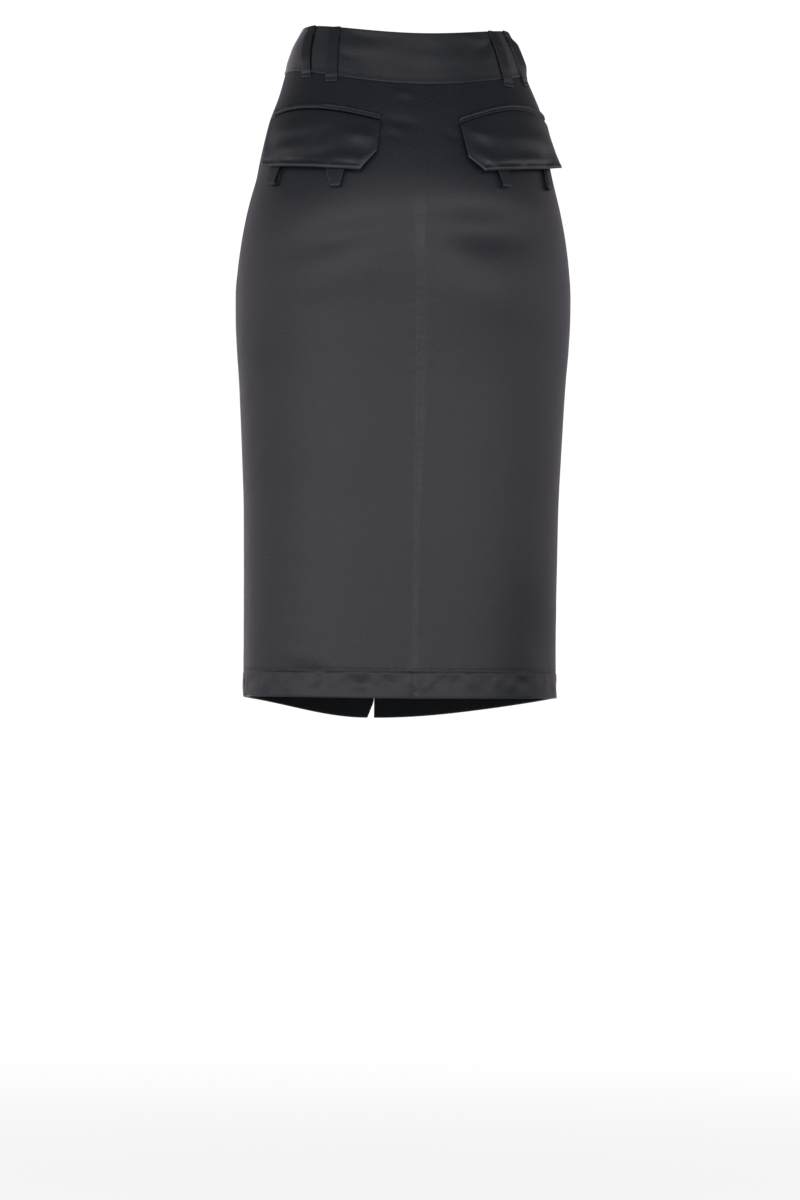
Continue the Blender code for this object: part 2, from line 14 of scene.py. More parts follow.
import bmesh
import bpy
import numpy as np
from mathutils import Matrix, Vector


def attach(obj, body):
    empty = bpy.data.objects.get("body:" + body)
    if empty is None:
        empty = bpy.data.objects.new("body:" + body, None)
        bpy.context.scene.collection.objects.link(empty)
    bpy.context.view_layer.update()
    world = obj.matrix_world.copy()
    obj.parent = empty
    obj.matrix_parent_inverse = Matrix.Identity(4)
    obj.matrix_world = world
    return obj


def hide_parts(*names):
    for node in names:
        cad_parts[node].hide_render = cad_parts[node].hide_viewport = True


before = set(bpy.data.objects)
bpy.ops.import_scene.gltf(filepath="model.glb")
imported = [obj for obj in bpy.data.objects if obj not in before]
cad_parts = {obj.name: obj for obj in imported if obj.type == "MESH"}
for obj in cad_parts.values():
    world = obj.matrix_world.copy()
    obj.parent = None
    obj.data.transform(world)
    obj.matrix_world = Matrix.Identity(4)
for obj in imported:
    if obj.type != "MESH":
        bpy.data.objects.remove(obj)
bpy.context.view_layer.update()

MM = 0.001
FLAT_MAP = "Cloth"
PRESSED = "Pressed"
SHEET_MERGE = 1e-6
BEAD_MERGE = 1e-7
THREAD_SIDES = 6
LOG = logging.getLogger("satin_pencil_skirt")
Array = np.ndarray
Material = bpy.types.Material
Object = bpy.types.Object


class Side(Enum):
    """The wearer's sides. The left is +X, and the tape grows towards it."""

    LEFT = 1
    RIGHT = -1

    @property
    def word(self) -> str:
        """The side as it is written in the names of the pieces."""
        return self.name.lower()


class Section(NamedTuple):
    """One ring of the worn form: half its width, its depth at the back and front, and its fullness."""

    height: float
    half_width: float
    back: float
    front: float
    fullness: float


class Fold(NamedTuple):
    """A soft mound (plus) or trough (minus) of the cloth, at a place on the tape and a height."""

    tape: float
    height: float
    half_length: float
    half_height: float
    slope: float
    rise: float

    def over(self, tape: Array, height: Array) -> Array:
        """Its rise at each place: a bell along its slope times a bell across it."""
        across = height - self.height - self.slope * (tape - self.tape)
        return self.rise * mound(tape, self.tape, self.half_length) * mound(across, 0.0, self.half_height)


SECTIONS = (
    Section(-700.0, 159.4, 112.0, 118.0, 2.50),
    Section(-626.0, 160.2, 112.5, 117.7, 2.48),
    Section(-564.0, 160.7, 113.5, 117.0, 2.46),
    Section(-503.0, 161.5, 115.0, 116.3, 2.42),
    Section(-461.0, 162.3, 116.0, 115.8, 2.39),
    Section(-420.0, 164.2, 117.4, 115.2, 2.36),
    Section(-379.0, 166.3, 119.0, 114.6, 2.32),
    Section(-338.0, 168.7, 121.4, 114.0, 2.28),
    Section(-303.0, 171.5, 124.2, 113.6, 2.25),
    Section(-266.0, 173.0, 127.8, 113.2, 2.22),
    Section(-235.0, 172.3, 131.6, 113.0, 2.20),
    Section(-194.0, 167.5, 136.6, 112.6, 2.19),
    Section(-166.0, 162.2, 138.0, 112.3, 2.18),
    Section(-142.0, 156.5, 135.6, 112.0, 2.17),
    Section(-116.0, 150.4, 129.2, 111.2, 2.16),
    Section(-91.0, 145.2, 121.2, 109.6, 2.15),
    Section(-64.0, 139.4, 112.0, 107.0, 2.14),
    Section(-47.0, 133.2, 105.6, 103.0, 2.12),
    Section(-25.0, 125.6, 97.4, 97.0, 2.10),
    Section(-8.0, 120.5, 92.4, 93.4, 2.08),
    Section(8.0, 113.9, 88.4, 90.2, 2.06),
    Section(25.0, 106.0, 84.4, 86.4, 2.05),
    Section(40.0, 99.0, 81.0, 83.0, 2.05),
)

FOLDS = (
    Fold(-64.0, -204.0, 58.0, 21.0, 0.00, -4.2),
    Fold(-80.0, -160.0, 60.0, 16.0, 0.10, 1.2),
    Fold(77.0, -212.0, 46.0, 13.0, -0.18, -2.0),
    Fold(58.0, -168.0, 46.0, 15.0, -0.10, 0.9),
    Fold(18.0, -84.0, 16.0, 5.0, 0.15, -0.9),
    Fold(55.0, 6.0, 14.0, 7.0, 0.40, -0.8),
    Fold(-72.0, 2.0, 12.0, 7.0, -0.40, -0.8),
    Fold(110.0, -640.0, 26.0, 9.0, 0.12, -1.6),
    Fold(52.0, -652.0, 15.0, 8.0, 0.00, -1.8),
    Fold(0.0, -652.0, 6.0, 12.0, 0.00, 1.4),
    Fold(-150.0, -610.0, 34.0, 40.0, 0.50, -1.6),
    Fold(-196.0, -52.0, 60.0, 26.0, 0.00, 3.4),
    Fold(190.0, -54.0, 60.0, 26.0, 0.00, -2.2),
    Fold(330.0, -210.0, 60.0, 18.0, 0.08, -1.6),
    Fold(-330.0, -205.0, 60.0, 18.0, -0.08, -1.6),
)

# Smaller creases than the solids have. The first ten also take the solids' folds under the seat out again and
# lay softer ones there, and let the low right side out.
CREASES = (
    Fold(58.0, -168.0, 46.0, 15.0, -0.10, -0.9),
    Fold(77.0, -212.0, 46.0, 13.0, -0.18, 2.0),
    Fold(86.0, -203.0, 50.0, 14.0, -0.16, -1.7),
    Fold(90.0, -240.0, 54.0, 24.0, -0.16, 1.6),
    Fold(-80.0, -160.0, 60.0, 16.0, 0.10, -1.2),
    Fold(-64.0, -204.0, 58.0, 21.0, 0.00, 4.2),
    Fold(-68.0, -193.0, 58.0, 22.0, 0.02, -5.0),
    Fold(-70.0, -250.0, 56.0, 36.0, 0.02, 3.4),
    Fold(-70.0, -290.0, 56.0, 40.0, 0.02, 1.5),
    Fold(-205.0, -700.0, 60.0, 60.0, 0.00, 3.0),
    Fold(40.0, -94.0, 8.0, 3.0, 0.35, 0.6),
    Fold(30.0, -98.0, 10.0, 3.0, 0.35, -0.5),
    Fold(26.0, -91.0, 9.0, 2.6, 0.30, 0.4),
    Fold(15.0, -54.0, 8.0, 3.2, 0.10, 0.7),
    Fold(14.0, -61.0, 10.0, 3.4, 0.10, -0.3),
    Fold(-34.0, -98.0, 9.0, 4.0, 0.30, -0.5),
    Fold(-120.0, -300.0, 60.0, 26.0, 0.25, -0.5),
    Fold(130.0, -330.0, 50.0, 30.0, -0.20, -0.4),
    Fold(-70.0, -430.0, 50.0, 50.0, 0.10, -0.4),
    Fold(80.0, -470.0, 60.0, 40.0, 0.00, -0.4),
    Fold(260.0, -140.0, 44.0, 12.0, -0.30, -1.2),
    Fold(-262.0, -150.0, 46.0, 12.0, 0.28, -1.1),
    Fold(392.0, -164.0, 46.0, 10.0, 0.12, 0.8),
    Fold(-396.0, -236.0, 44.0, 11.0, -0.10, -0.8),
    Fold(300.0, -250.0, 50.0, 12.0, -0.10, 0.7),
    Fold(-300.0, -262.0, 56.0, 13.0, 0.14, 0.6),
    Fold(420.0, -430.0, 22.0, 110.0, 0.00, -1.1),
    Fold(-372.0, -470.0, 26.0, 120.0, 0.00, 0.9),
    Fold(350.0, -520.0, 24.0, 90.0, 0.00, 0.8),
)


def ease(value: Array | float, start: float, end: float) -> Array:
    """Runs from 0 at start to 1 at end, level at both.

    Args:
        value: Where to read it.
        start: The place of the 0.
        end: The place of the 1, on either side of start.

    Returns:
        The share, of the same shape as value.
    """
    share = np.clip((value - start) / (end - start), 0.0, 1.0)
    return share * share * (3.0 - 2.0 * share)


def mound(value: Array, middle: float, reach: float) -> Array:
    """A bell of height 1 at middle, which has fallen to 1/e at reach."""
    away = (value - middle) / reach
    return np.exp(-away * away)


def wave(place: Array, pitch: float, seed: float) -> Array:
    """An uneven ripple between about -1 and 1: three sines whose pitches have no common measure.

    Args:
        place: Where to read it, in millimetres.
        pitch: The main wave's length.
        seed: Shifts the three sines, each by its own amount.

    Returns:
        The ripple, of the same shape as place.
    """
    turns = 2.0 * np.pi * place / pitch
    main = np.sin(turns + 1.7 * seed)
    quick = 0.55 * np.sin(1.71 * turns + 2.9 * seed + 1.0)
    slow = 0.65 * np.sin(0.47 * turns + 4.3 * seed + 2.0)
    return (main + quick + slow) / 1.7


def rounding(distance: Array, radius: float) -> Array:
    """A quarter circle: 0 at an edge, 1 from radius away from it, square to the cloth at the edge."""
    share = 1.0 - np.clip(distance / radius, 0.0, 1.0)
    return np.sqrt(np.clip(1.0 - share * share, 0.0, 1.0))


def crowded(count: int, crowding: float) -> Array:
    """Shares from 0 to 1 that lie closer together towards both ends, or in the middle if it is below 0."""
    steps = np.linspace(0.0, 1.0, count)
    return steps - crowding * np.sin(2.0 * np.pi * steps) / (2.0 * np.pi)


def boxed(value: Array, power: float) -> Array:
    """A sine or cosine raised to a power with its sign kept, which squares off a circle below 1."""
    return np.sign(value) * np.abs(value) ** power


def turns_round(count: int) -> Array:
    """Angles evenly round a ring, on the last of three axes."""
    return np.linspace(0.0, 2.0 * np.pi, count + 1)[:-1][None, None, :]


def laid(folds: Sequence[Fold], tape: Array, height: Array) -> Array:
    """The sum of what each fold adds to the cloth's lift."""
    return sum(fold.over(tape, height) for fold in folds)


def ledge(away: Array) -> Array:
    """1 over a seam allowance that lies under the cloth, by distance from its seam, and 0 past its edge."""
    return ease(away, 0.4, 2.0) - ease(away, 9.0, 13.0)


class Pucker(NamedTuple):
    """An uneven ripple along a line of sewing. It has died to 1/e at its reach from the line."""

    rise: float
    pitch: float
    seed: float
    reach: float

    def beside(self, place: Array, away: Array, seed: float = 0.0) -> Array:
        """Its lift at places along the line and distances from it."""
        return self.rise * wave(place, self.pitch, self.seed + seed) * np.exp(-np.abs(away) / self.reach)


class Ridge(NamedTuple):
    """A ridge (plus) or groove (minus) that runs with a line: its rise, distance from the line, and reach."""

    rise: float
    middle: float
    reach: float

    def at(self, away: Array) -> Array:
        """Its lift at distances from the line: a bell."""
        return self.rise * mound(away, self.middle, self.reach)


class SkirtForm:
    """The worn form of the cloth: rings that are superellipses, with folds laid over them.

    The rings' sizes are read from SECTIONS at every millimetre of height by a cubic between the rows, and
    smoothed, so that satin shows no line where a row was. Lengths along the tape are summed once for each
    millimetre of height, and both ways between tape and angle are read from those tables.
    """

    LOWEST = -712
    HIGHEST = 56
    SMOOTHING = 5.0
    ANGLES = 721
    NORMAL_STEP = 0.6

    def __init__(self) -> None:
        """Fills the tables of sizes, tape lengths and angles."""
        self._heights = np.arange(self.LOWEST, self.HIGHEST + 1, dtype=float)
        self._sizes = self._smoothed(self._between_rows())
        angles = np.linspace(0.0, np.pi, self.ANGLES)
        radius = self._ring(angles[None, :], *(size[:, None] for size in self._sizes))
        x, y = radius * np.sin(angles), radius * np.cos(angles)
        steps = np.hypot(np.diff(x, axis=1), np.diff(y, axis=1))
        self._lengths = np.concatenate([np.zeros((len(x), 1)), np.cumsum(steps, axis=1)], axis=1)
        shares = np.linspace(0.0, 1.0, self.ANGLES)
        self._angles = np.stack([np.interp(shares * row[-1], row, angles) for row in self._lengths])

    def _between_rows(self) -> Array:
        """Sizes at each millimetre, four rows: cubics whose slopes are those of the rows beside."""
        table = np.array(SECTIONS)
        rows = table[:, 0]
        height = np.clip(self._heights, rows[0], rows[-1])
        low = np.clip(np.searchsorted(rows, height) - 1, 0, len(rows) - 2)
        step = rows[low + 1] - rows[low]
        share = (height - rows[low]) / step
        rest = 1.0 - share
        found = []
        for sizes in table[:, 1:].T:
            slopes = np.gradient(sizes, rows)
            before = sizes[low] * rest**2 * (1.0 + 2.0 * share)
            after = sizes[low + 1] * share**2 * (1.0 + 2.0 * rest)
            bend = slopes[low] * share * rest**2 - slopes[low + 1] * share**2 * rest
            found.append(before + after + step * bend)
        return np.stack(found)

    def _smoothed(self, sizes: Array) -> Array:
        """Each row of sizes, averaged over its neighbours with a bell of weights."""
        reach = int(3 * self.SMOOTHING)
        bell = mound(np.arange(-reach, reach + 1, dtype=float), 0.0, self.SMOOTHING)
        padded = np.pad(sizes, ((0, 0), (reach, reach)), mode="edge")
        return np.stack([np.convolve(row, bell / bell.sum(), "valid") for row in padded])

    @staticmethod
    def _ring(angle: Array, half_width: Array, back: Array, front: Array, fullness: Array) -> Array:
        """Radius of a superellipse that is deeper or shallower at the back (cosine above 0)."""
        depth = np.where(np.cos(angle) > 0.0, back, front)
        across = np.abs(np.sin(angle) / half_width) ** fullness
        return (across + np.abs(np.cos(angle) / depth) ** fullness) ** (-1.0 / fullness)

    def _row(self, height: Array) -> tuple[Array, Array]:
        """The table row at or below each height, and the share of the way to the next."""
        place = np.clip(height - self.LOWEST, 0.0, len(self._heights) - 1.001)
        low = place.astype(int)
        return low, place - low

    def half_ring(self, height: Array | float) -> Array:
        """Tape from the centre back to the centre front, at each height."""
        return np.interp(height, self._heights, self._lengths[:, -1])

    def tape_at(self, degrees: float, height: Array | float) -> Array:
        """Tape from the centre back to an angle round the skirt, at each height."""
        low, share = self._row(np.asarray(height, dtype=float))
        place = abs(degrees) / 180.0 * (self.ANGLES - 1)
        column = min(int(place), self.ANGLES - 2)
        part = place - column
        line = self._lengths[:, column] * (1.0 - part) + self._lengths[:, column + 1] * part
        return math.copysign(1.0, degrees) * (line[low] * (1.0 - share) + line[low + 1] * share)

    def _angle_at(self, tape: Array, height: Array) -> Array:
        """The angle at a place on the tape, which may run on past the centre front."""
        half = self.half_ring(height)
        wrapped = np.mod(tape + half, 2.0 * half) - half
        low, share = self._row(height)
        place = np.clip(np.abs(wrapped) / half, 0.0, 1.0) * (self.ANGLES - 1)
        column = np.clip(place.astype(int), 0, self.ANGLES - 2)
        part = place - column
        lower = self._angles[low, column] * (1.0 - part) + self._angles[low, column + 1] * part
        upper = self._angles[low + 1, column] * (1.0 - part) + self._angles[low + 1, column + 1] * part
        return np.sign(wrapped) * (lower * (1.0 - share) + upper * share)

    def _plain(self, tape: Array, height: Array) -> Array:
        """Points of the form, its folds laid over it."""
        angle = self._angle_at(tape, height)
        low, share = self._row(height)
        sizes = (size[low] * (1.0 - share) + size[low + 1] * share for size in self._sizes)
        radius = self._ring(angle, *sizes) + laid(FOLDS, tape, height)
        return np.stack([radius * np.sin(angle), radius * np.cos(angle), height], axis=-1)

    def point(self, tape: Array, height: Array, lift: Array | float = 0.0) -> Array:
        """Points of the skirt's outer face, lifted square to it.

        Args:
            tape: Places along the tape.
            height: Heights, of the same shape or one that spreads to it.
            lift: How far each point stands off the form, minus for inwards.

        Returns:
            The points in millimetres, with x, y and z on a last axis.
        """
        tape, height, lift = (np.asarray(v, dtype=float) for v in np.broadcast_arrays(tape, height, lift))
        step = self.NORMAL_STEP
        along = self._plain(tape + step, height) - self._plain(tape - step, height)
        down = self._plain(tape, height - step) - self._plain(tape, height + step)
        outward = np.cross(along, down)
        outward /= np.linalg.norm(outward, axis=-1, keepdims=True)
        return self._plain(tape, height) + outward * lift[..., None]


@dataclass(frozen=True)
class Edges:
    """Lines that go round the skirt. Each is read at a share of the half ring, 0 at the centre back."""

    band_top_level: float = 25.0
    band_seam_level: float = -22.5
    top_drop_back: float = 14.0
    seam_drop_back: float = 21.3
    waist_drop_front: float = 6.0
    hem_level: float = -663.9
    hem_drop_back: float = 2.1
    hem_drop_front: float = 20.1
    hem_tilt: float = -0.8
    hem_left_power: float = 1.8
    turn_side: float = 26.5
    turn_centre: float = 27.5

    @staticmethod
    def _line(level: float, back_drop: float, front_drop: float, share: Array) -> Array:
        """A level at the side seams, dropped towards each centre by the square of a cosine."""
        drop = np.where(np.abs(share) < 0.5, back_drop, front_drop)
        return level - drop * np.cos(np.pi * share) ** 2

    def band_top(self, share: Array) -> Array:
        """Top edge of the waistband."""
        return self._line(self.band_top_level, self.top_drop_back, self.waist_drop_front, share)

    def band_seam(self, share: Array) -> Array:
        """Seam that joins the waistband to the panels."""
        return self._line(self.band_seam_level, self.seam_drop_back, self.waist_drop_front, share)

    def hem(self, share: Array) -> Array:
        """Folded edge of the hem. The left front stays level further round than the right one."""
        level = np.cos(np.pi * share) ** 2
        front = level ** np.where(share > 0.5, self.hem_left_power, 1.0) * self.hem_drop_front
        drop = np.where(np.abs(share) < 0.5, level * self.hem_drop_back, front)
        return self.hem_level - drop + self.hem_tilt * np.sin(np.pi * share)

    def hem_stitches(self, share: Array) -> Array:
        """Line of stitches that holds the turned-up hem."""
        less = self.turn_side - self.turn_centre
        return self.hem(share) + self._line(self.turn_side, less, less, share)


class SeamLines:
    """Where the panels meet along the tape, and how the front laps, gapes and curls."""

    SIDE_ANGLE = 87.0
    HIP = -266.0
    STRAY = 4.5
    STRAY_HEIGHT = -160.0
    STRAY_REACH = 120.0
    DRIFT = 12.0
    FLY_LAP = 8.0
    FLY_LIFT = 3.2
    FLY_END = -190.0
    FLY_CORNER = 14.0
    FLY_FADE = 34.0
    FLY_FLAT = 18.0
    FLY_RAMP = 26.0
    SLIT_TOP = -504.0
    SLIT_GAPE = 0.15
    CORNER_HEIGHT = 17.0
    CORNER_OPENING = 6.5
    CORNER_FLARE = 4.0
    CORNER_FLARE_HEIGHT = 67.0
    CORNER_FLARE_SHARE = 0.16

    def __init__(self, form: SkirtForm, edges: Edges) -> None:
        """Keeps the form and the edges, and the side seam's share of the half ring."""
        self.form = form
        self.edges = edges
        self.side_share = float(form.tape_at(self.SIDE_ANGLE, self.HIP) / form.half_ring(self.HIP))
        self.front_hem = edges.hem_level - edges.hem_drop_front

    def side(self, height: Array) -> Array:
        """Tape from the centre back to the side seam."""
        return self.form.tape_at(self.SIDE_ANGLE, height)

    def back(self, height: Array) -> Array:
        """Place of the centre-back seam, which strays to the wearer's left over the seat."""
        return self.STRAY * mound(height, self.STRAY_HEIGHT, self.STRAY_REACH)

    def drift(self, height: Array) -> Array:
        """How far the centre-front seam runs off towards the wearer's left."""
        return self.DRIFT * ease(height, self.FLY_END - self.FLY_FADE, self.edges.hem_level)

    def lap(self, height: Array) -> Array:
        """How far the right front reaches over the left one, above the fly's end."""
        return self.FLY_LAP * ease(height, self.FLY_END, self.FLY_END + self.FLY_CORNER)

    def gape(self, height: Array) -> Array:
        """How far each edge of the slit stands back from the seam line."""
        return self.SLIT_GAPE * ease(height, self.SLIT_TOP, self.edges.hem_level)

    def corner_opening(self, height: Array) -> Array:
        """How much further the slit's left edge stands back, just above the hem."""
        below = self.front_hem + self.CORNER_HEIGHT - height
        return self.CORNER_OPENING * np.clip(below / self.CORNER_HEIGHT, 0.0, 1.0)

    def corner_flare(self, height: Array, across: Array) -> Array:
        """How far the slit's left corner curls outwards. across is 0 at the slit."""
        rise = ease(height, self.front_hem + self.CORNER_FLARE_HEIGHT, self.front_hem)
        return self.CORNER_FLARE * rise * ease(across, self.CORNER_FLARE_SHARE, 0.0)


def add_object(name: str, data: bpy.types.ID) -> Object:
    """A new object of the data, linked to the scene, at the origin."""
    made = bpy.data.objects.new(name, data)
    bpy.context.scene.collection.objects.link(made)
    return made


def close_mesh(mesh: bpy.types.Mesh, distance: float) -> None:
    """Joins points that lie within a distance of each other, in metres, and turns every face outwards."""
    shell = bmesh.new()
    shell.from_mesh(mesh)
    bmesh.ops.remove_doubles(shell, verts=shell.verts, dist=distance)
    bmesh.ops.recalc_face_normals(shell, faces=shell.faces)
    shell.to_mesh(mesh)
    shell.free()


def grid_object(name: str, points: Array, plane: Array, merge: bool = False) -> Object:
    """A mesh of four-sided faces on a grid of points, with the cloth's flat measures as its UV map.

    Columns run with the tape and rows downwards, so that the faces point outwards.

    Args:
        name: The piece's name.
        points: Rows x columns x 3, in millimetres.
        plane: Rows x columns x 2, where each point lies on the flat cloth, in millimetres.
        merge: Joins points that lie on each other, to close a tube or an end.

    Returns:
        The object, linked to the scene, at the origin.
    """
    rows, columns = points.shape[:2]
    index = np.arange(rows * columns).reshape(rows, columns)
    corners = np.stack([index[:-1, :-1], index[:-1, 1:], index[1:, 1:], index[1:, :-1]], axis=-1)
    corners = corners.reshape(-1, 4)
    mesh = bpy.data.meshes.new(name)
    mesh.from_pydata((points.reshape(-1, 3) * MM).tolist(), [], corners.tolist())
    layer = mesh.uv_layers.new(name=FLAT_MAP)
    layer.data.foreach_set("uv", (plane.reshape(-1, 2)[corners.ravel()] * MM).astype(np.float32).ravel())
    if merge:
        close_mesh(mesh, SHEET_MERGE)
    mesh.shade_smooth()
    return add_object(name, mesh)


def two_faced(name: str, front: Array, rear: Array, flat: Array) -> Object:
    """A closed piece from two grids that meet all round.

    Args:
        name: The piece's name.
        front: Points of the outer face, in millimetres.
        rear: Points of the underside, on the same grid.
        flat: Where each point of either lies on the flat cloth.

    Returns:
        The object: one sheet that runs down the front and up the rear, joined at the sides.
    """
    points, plane = (np.concatenate([over, under[::-1][1:]]) for over, under in ((front, rear), (flat, flat)))
    return grid_object(name, points, plane, merge=True)


def give_wall(piece: Object, thickness: float) -> None:
    """Gives an open sheet its thickness, inwards, with its second material on the underside.

    Args:
        piece: The sheet.
        thickness: In millimetres.
    """
    wall = piece.modifiers.new("Wall", "SOLIDIFY")
    wall.thickness = thickness * MM
    wall.offset = -1.0
    wall.use_quality_normals = True
    wall.material_offset = 1


def place_piece(piece: Object, slot: str, node: str = "", *materials: Material) -> Object:
    """Dresses a finished piece and sets it on the skirt's one body.

    Args:
        piece: The finished piece.
        slot: The record's material slot. It is not used.
        node: The CAD node that it replaces, or nothing.
        materials: What it is dressed in, where it isn't dressed yet.

    Returns:
        The piece.
    """
    for material in materials:
        piece.data.materials.append(material)
    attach(piece, "root")
    if node:
        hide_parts(node)
    LOG.info("%s: %d faces", piece.name, len(piece.data.polygons))
    return piece


class Graph:
    """A shader node tree while it is put together."""

    def __init__(self, tree: bpy.types.NodeTree) -> None:
        """Keeps the tree."""
        self.tree = tree

    def node(self, kind: str, inputs: dict | None = None, **settings: object) -> bpy.types.Node:
        """Adds a node.

        Args:
            kind: Its type, such as ShaderNodeMath.
            inputs: Values or sockets for its inputs, by name or number.
            settings: Its own settings.

        Returns:
            The node.
        """
        made = self.tree.nodes.new(kind)
        for key, value in settings.items():
            setattr(made, key, value)
        self.fill(made, inputs or {})
        return made

    def fill(self, node: bpy.types.Node, inputs: dict) -> None:
        """Links each socket to the node's input of that name or number, and sets each plain value there."""
        for key, value in inputs.items():
            if isinstance(value, bpy.types.NodeSocket):
                self.tree.links.new(value, node.inputs[key])
            else:
                node.inputs[key].default_value = value

    def maths(self, operation: str, *values: object) -> bpy.types.NodeSocket:
        """A sum, product or other operation on numbers or sockets."""
        return self.node("ShaderNodeMath", dict(enumerate(values)), operation=operation).outputs[0]

    def stretch(self, vector: bpy.types.NodeSocket, scale: Sequence[float]) -> bpy.types.NodeSocket:
        """A vector scaled along its three axes by a Mapping node."""
        return self.node("ShaderNodeMapping", {"Vector": vector, "Scale": scale}).outputs[0]

    def noise(self, vector: bpy.types.NodeSocket, scale: float, detail: float) -> bpy.types.NodeSocket:
        """Noise between 0 and 1, about 0.5."""
        inputs = {"Vector": vector, "Scale": scale, "Detail": detail}
        return self.node("ShaderNodeTexNoise", inputs).outputs[0]

    def centred(self, value: bpy.types.NodeSocket) -> bpy.types.NodeSocket:
        """A value that lies about 0.5, moved to lie about 0."""
        return self.maths("SUBTRACT", value, 0.5)

    def mixed(
        self, share: bpy.types.NodeSocket, first: Sequence[float], second: Sequence[float]
    ) -> bpy.types.NodeSocket:
        """The first colour where the share is 0, and the second where it is 1."""
        inputs = {0: share, 6: (*first, 1.0), 7: (*second, 1.0)}
        return self.node("ShaderNodeMix", inputs, data_type="RGBA").outputs[2]

    def unseen(self) -> tuple[bpy.types.NodeSocket, bpy.types.NodeSocket]:
        """Two shares: 1 for what the camera sees itself, and 1 for all other light."""
        seen = self.node("ShaderNodeLightPath").outputs["Is Camera Ray"]
        return seen, self.maths("SUBTRACT", 1.0, seen)


class Surface(Graph):
    """A material while it is put together, with its one Principled shader."""

    def __init__(self, name: str) -> None:
        """Makes the material."""
        self.material = bpy.data.materials.new(name)
        self.material.use_nodes = True
        super().__init__(self.material.node_tree)
        self.shader = self.tree.nodes["Principled BSDF"]

    def bumped(self, height: bpy.types.NodeSocket, strength: float, depth: float) -> bpy.types.NodeSocket:
        """The normal of a bump, whose depth is in millimetres."""
        inputs = {"Height": height, "Strength": strength, "Distance": depth * MM}
        return self.node("ShaderNodeBump", inputs).outputs["Normal"]

    def toned(
        self, share: bpy.types.NodeSocket, colour: Sequence[float], change: float
    ) -> bpy.types.NodeSocket:
        """A colour that the share makes darker at 0 and lighter at 1, by the change either way."""
        dark, light = ([scale * part for part in colour] for scale in (1.0 - change, 1.0 + change))
        return self.mixed(share, dark, light)


class SatinWeave:
    """Shader group for satin's face: long floats of warp side by side, slubs, and a faint cloudiness.

    It reads the cloth's own flat measures in metres. Height is for a bump: rows of long bricks stand for the
    floats, noise drawn out along the warp for slubs, and coarser noise for a grain of a few millimetres,
    which gives the satin its speckle. Sheen is a change of roughness, and Shade of colour.
    """

    NAME = "Satin weave"
    INPUTS = ("Float length", "Thread", "Slub", "Cloud")
    SLUB_STRETCH = (1.6, 0.07, 1.0)
    CLOUD_SCALE = 0.035
    GRAIN_SCALE = 0.42
    GRAIN_RELIEF = 22.0
    GRAIN_GLOSS = 0.6
    CLOUD_SHADE = 0.4
    SLUB_SHADE = 0.3

    def __init__(self) -> None:
        """Builds the group's sockets and nodes."""
        tree = bpy.data.node_groups.new(self.NAME, "ShaderNodeTree")
        face = tree.interface
        face.new_socket("Cloth", in_out="INPUT", socket_type="NodeSocketVector")
        for label, value in zip(self.INPUTS, Weave.FACE.value):
            face.new_socket(label, in_out="INPUT", socket_type="NodeSocketFloat").default_value = value
        for label in ("Height", "Sheen", "Shade"):
            face.new_socket(label, in_out="OUTPUT", socket_type="NodeSocketFloat")
        graph = Graph(tree)
        given = graph.node("NodeGroupInput").outputs
        self.tree = tree
        flat = graph.stretch(given["Cloth"], (1.0 / MM,) * 3)
        parts = graph.node("ShaderNodeSeparateXYZ", {0: flat}).outputs
        turned = graph.node("ShaderNodeCombineXYZ", {0: parts["Y"], 1: parts["X"]}).outputs[0]
        floats = graph.node(
            "ShaderNodeTexBrick",
            {
                "Vector": turned,
                "Scale": 1.0,
                "Mortar Size": 0.035,
                "Mortar Smooth": 1.0,
                "Brick Width": given["Float length"],
                "Row Height": given["Thread"],
            },
            offset=0.4,
            offset_frequency=2,
        ).outputs["Fac"]
        slub = graph.noise(graph.stretch(flat, self.SLUB_STRETCH), 1.0, 3.0)
        slubs = graph.maths("MULTIPLY", graph.centred(slub), given["Slub"])
        cloud = graph.noise(flat, self.CLOUD_SCALE, 2.0)
        clouds = graph.maths("MULTIPLY", graph.centred(cloud), given["Cloud"])
        grains = graph.centred(graph.noise(flat, self.GRAIN_SCALE, 3.0))
        relief = graph.maths("MULTIPLY_ADD", grains, self.GRAIN_RELIEF, slubs)
        height = graph.maths("SUBTRACT", relief, floats)
        gloss = graph.maths("ADD", slubs, clouds)
        sheen = graph.maths("MULTIPLY_ADD", grains, self.GRAIN_GLOSS, gloss)
        cloudy = graph.maths("MULTIPLY_ADD", clouds, self.CLOUD_SHADE, grains)
        shade = graph.maths("MULTIPLY_ADD", slubs, self.SLUB_SHADE, cloudy)
        graph.node("NodeGroupOutput", {"Height": height, "Sheen": sheen, "Shade": shade})


class Weave(Enum):
    """The face or the back of the satin, as the values of its weave group."""

    FACE = (1.7, 0.24, 0.5, 0.6)
    UNDERSIDE = (0.5, 0.30, 0.6, 0.4)


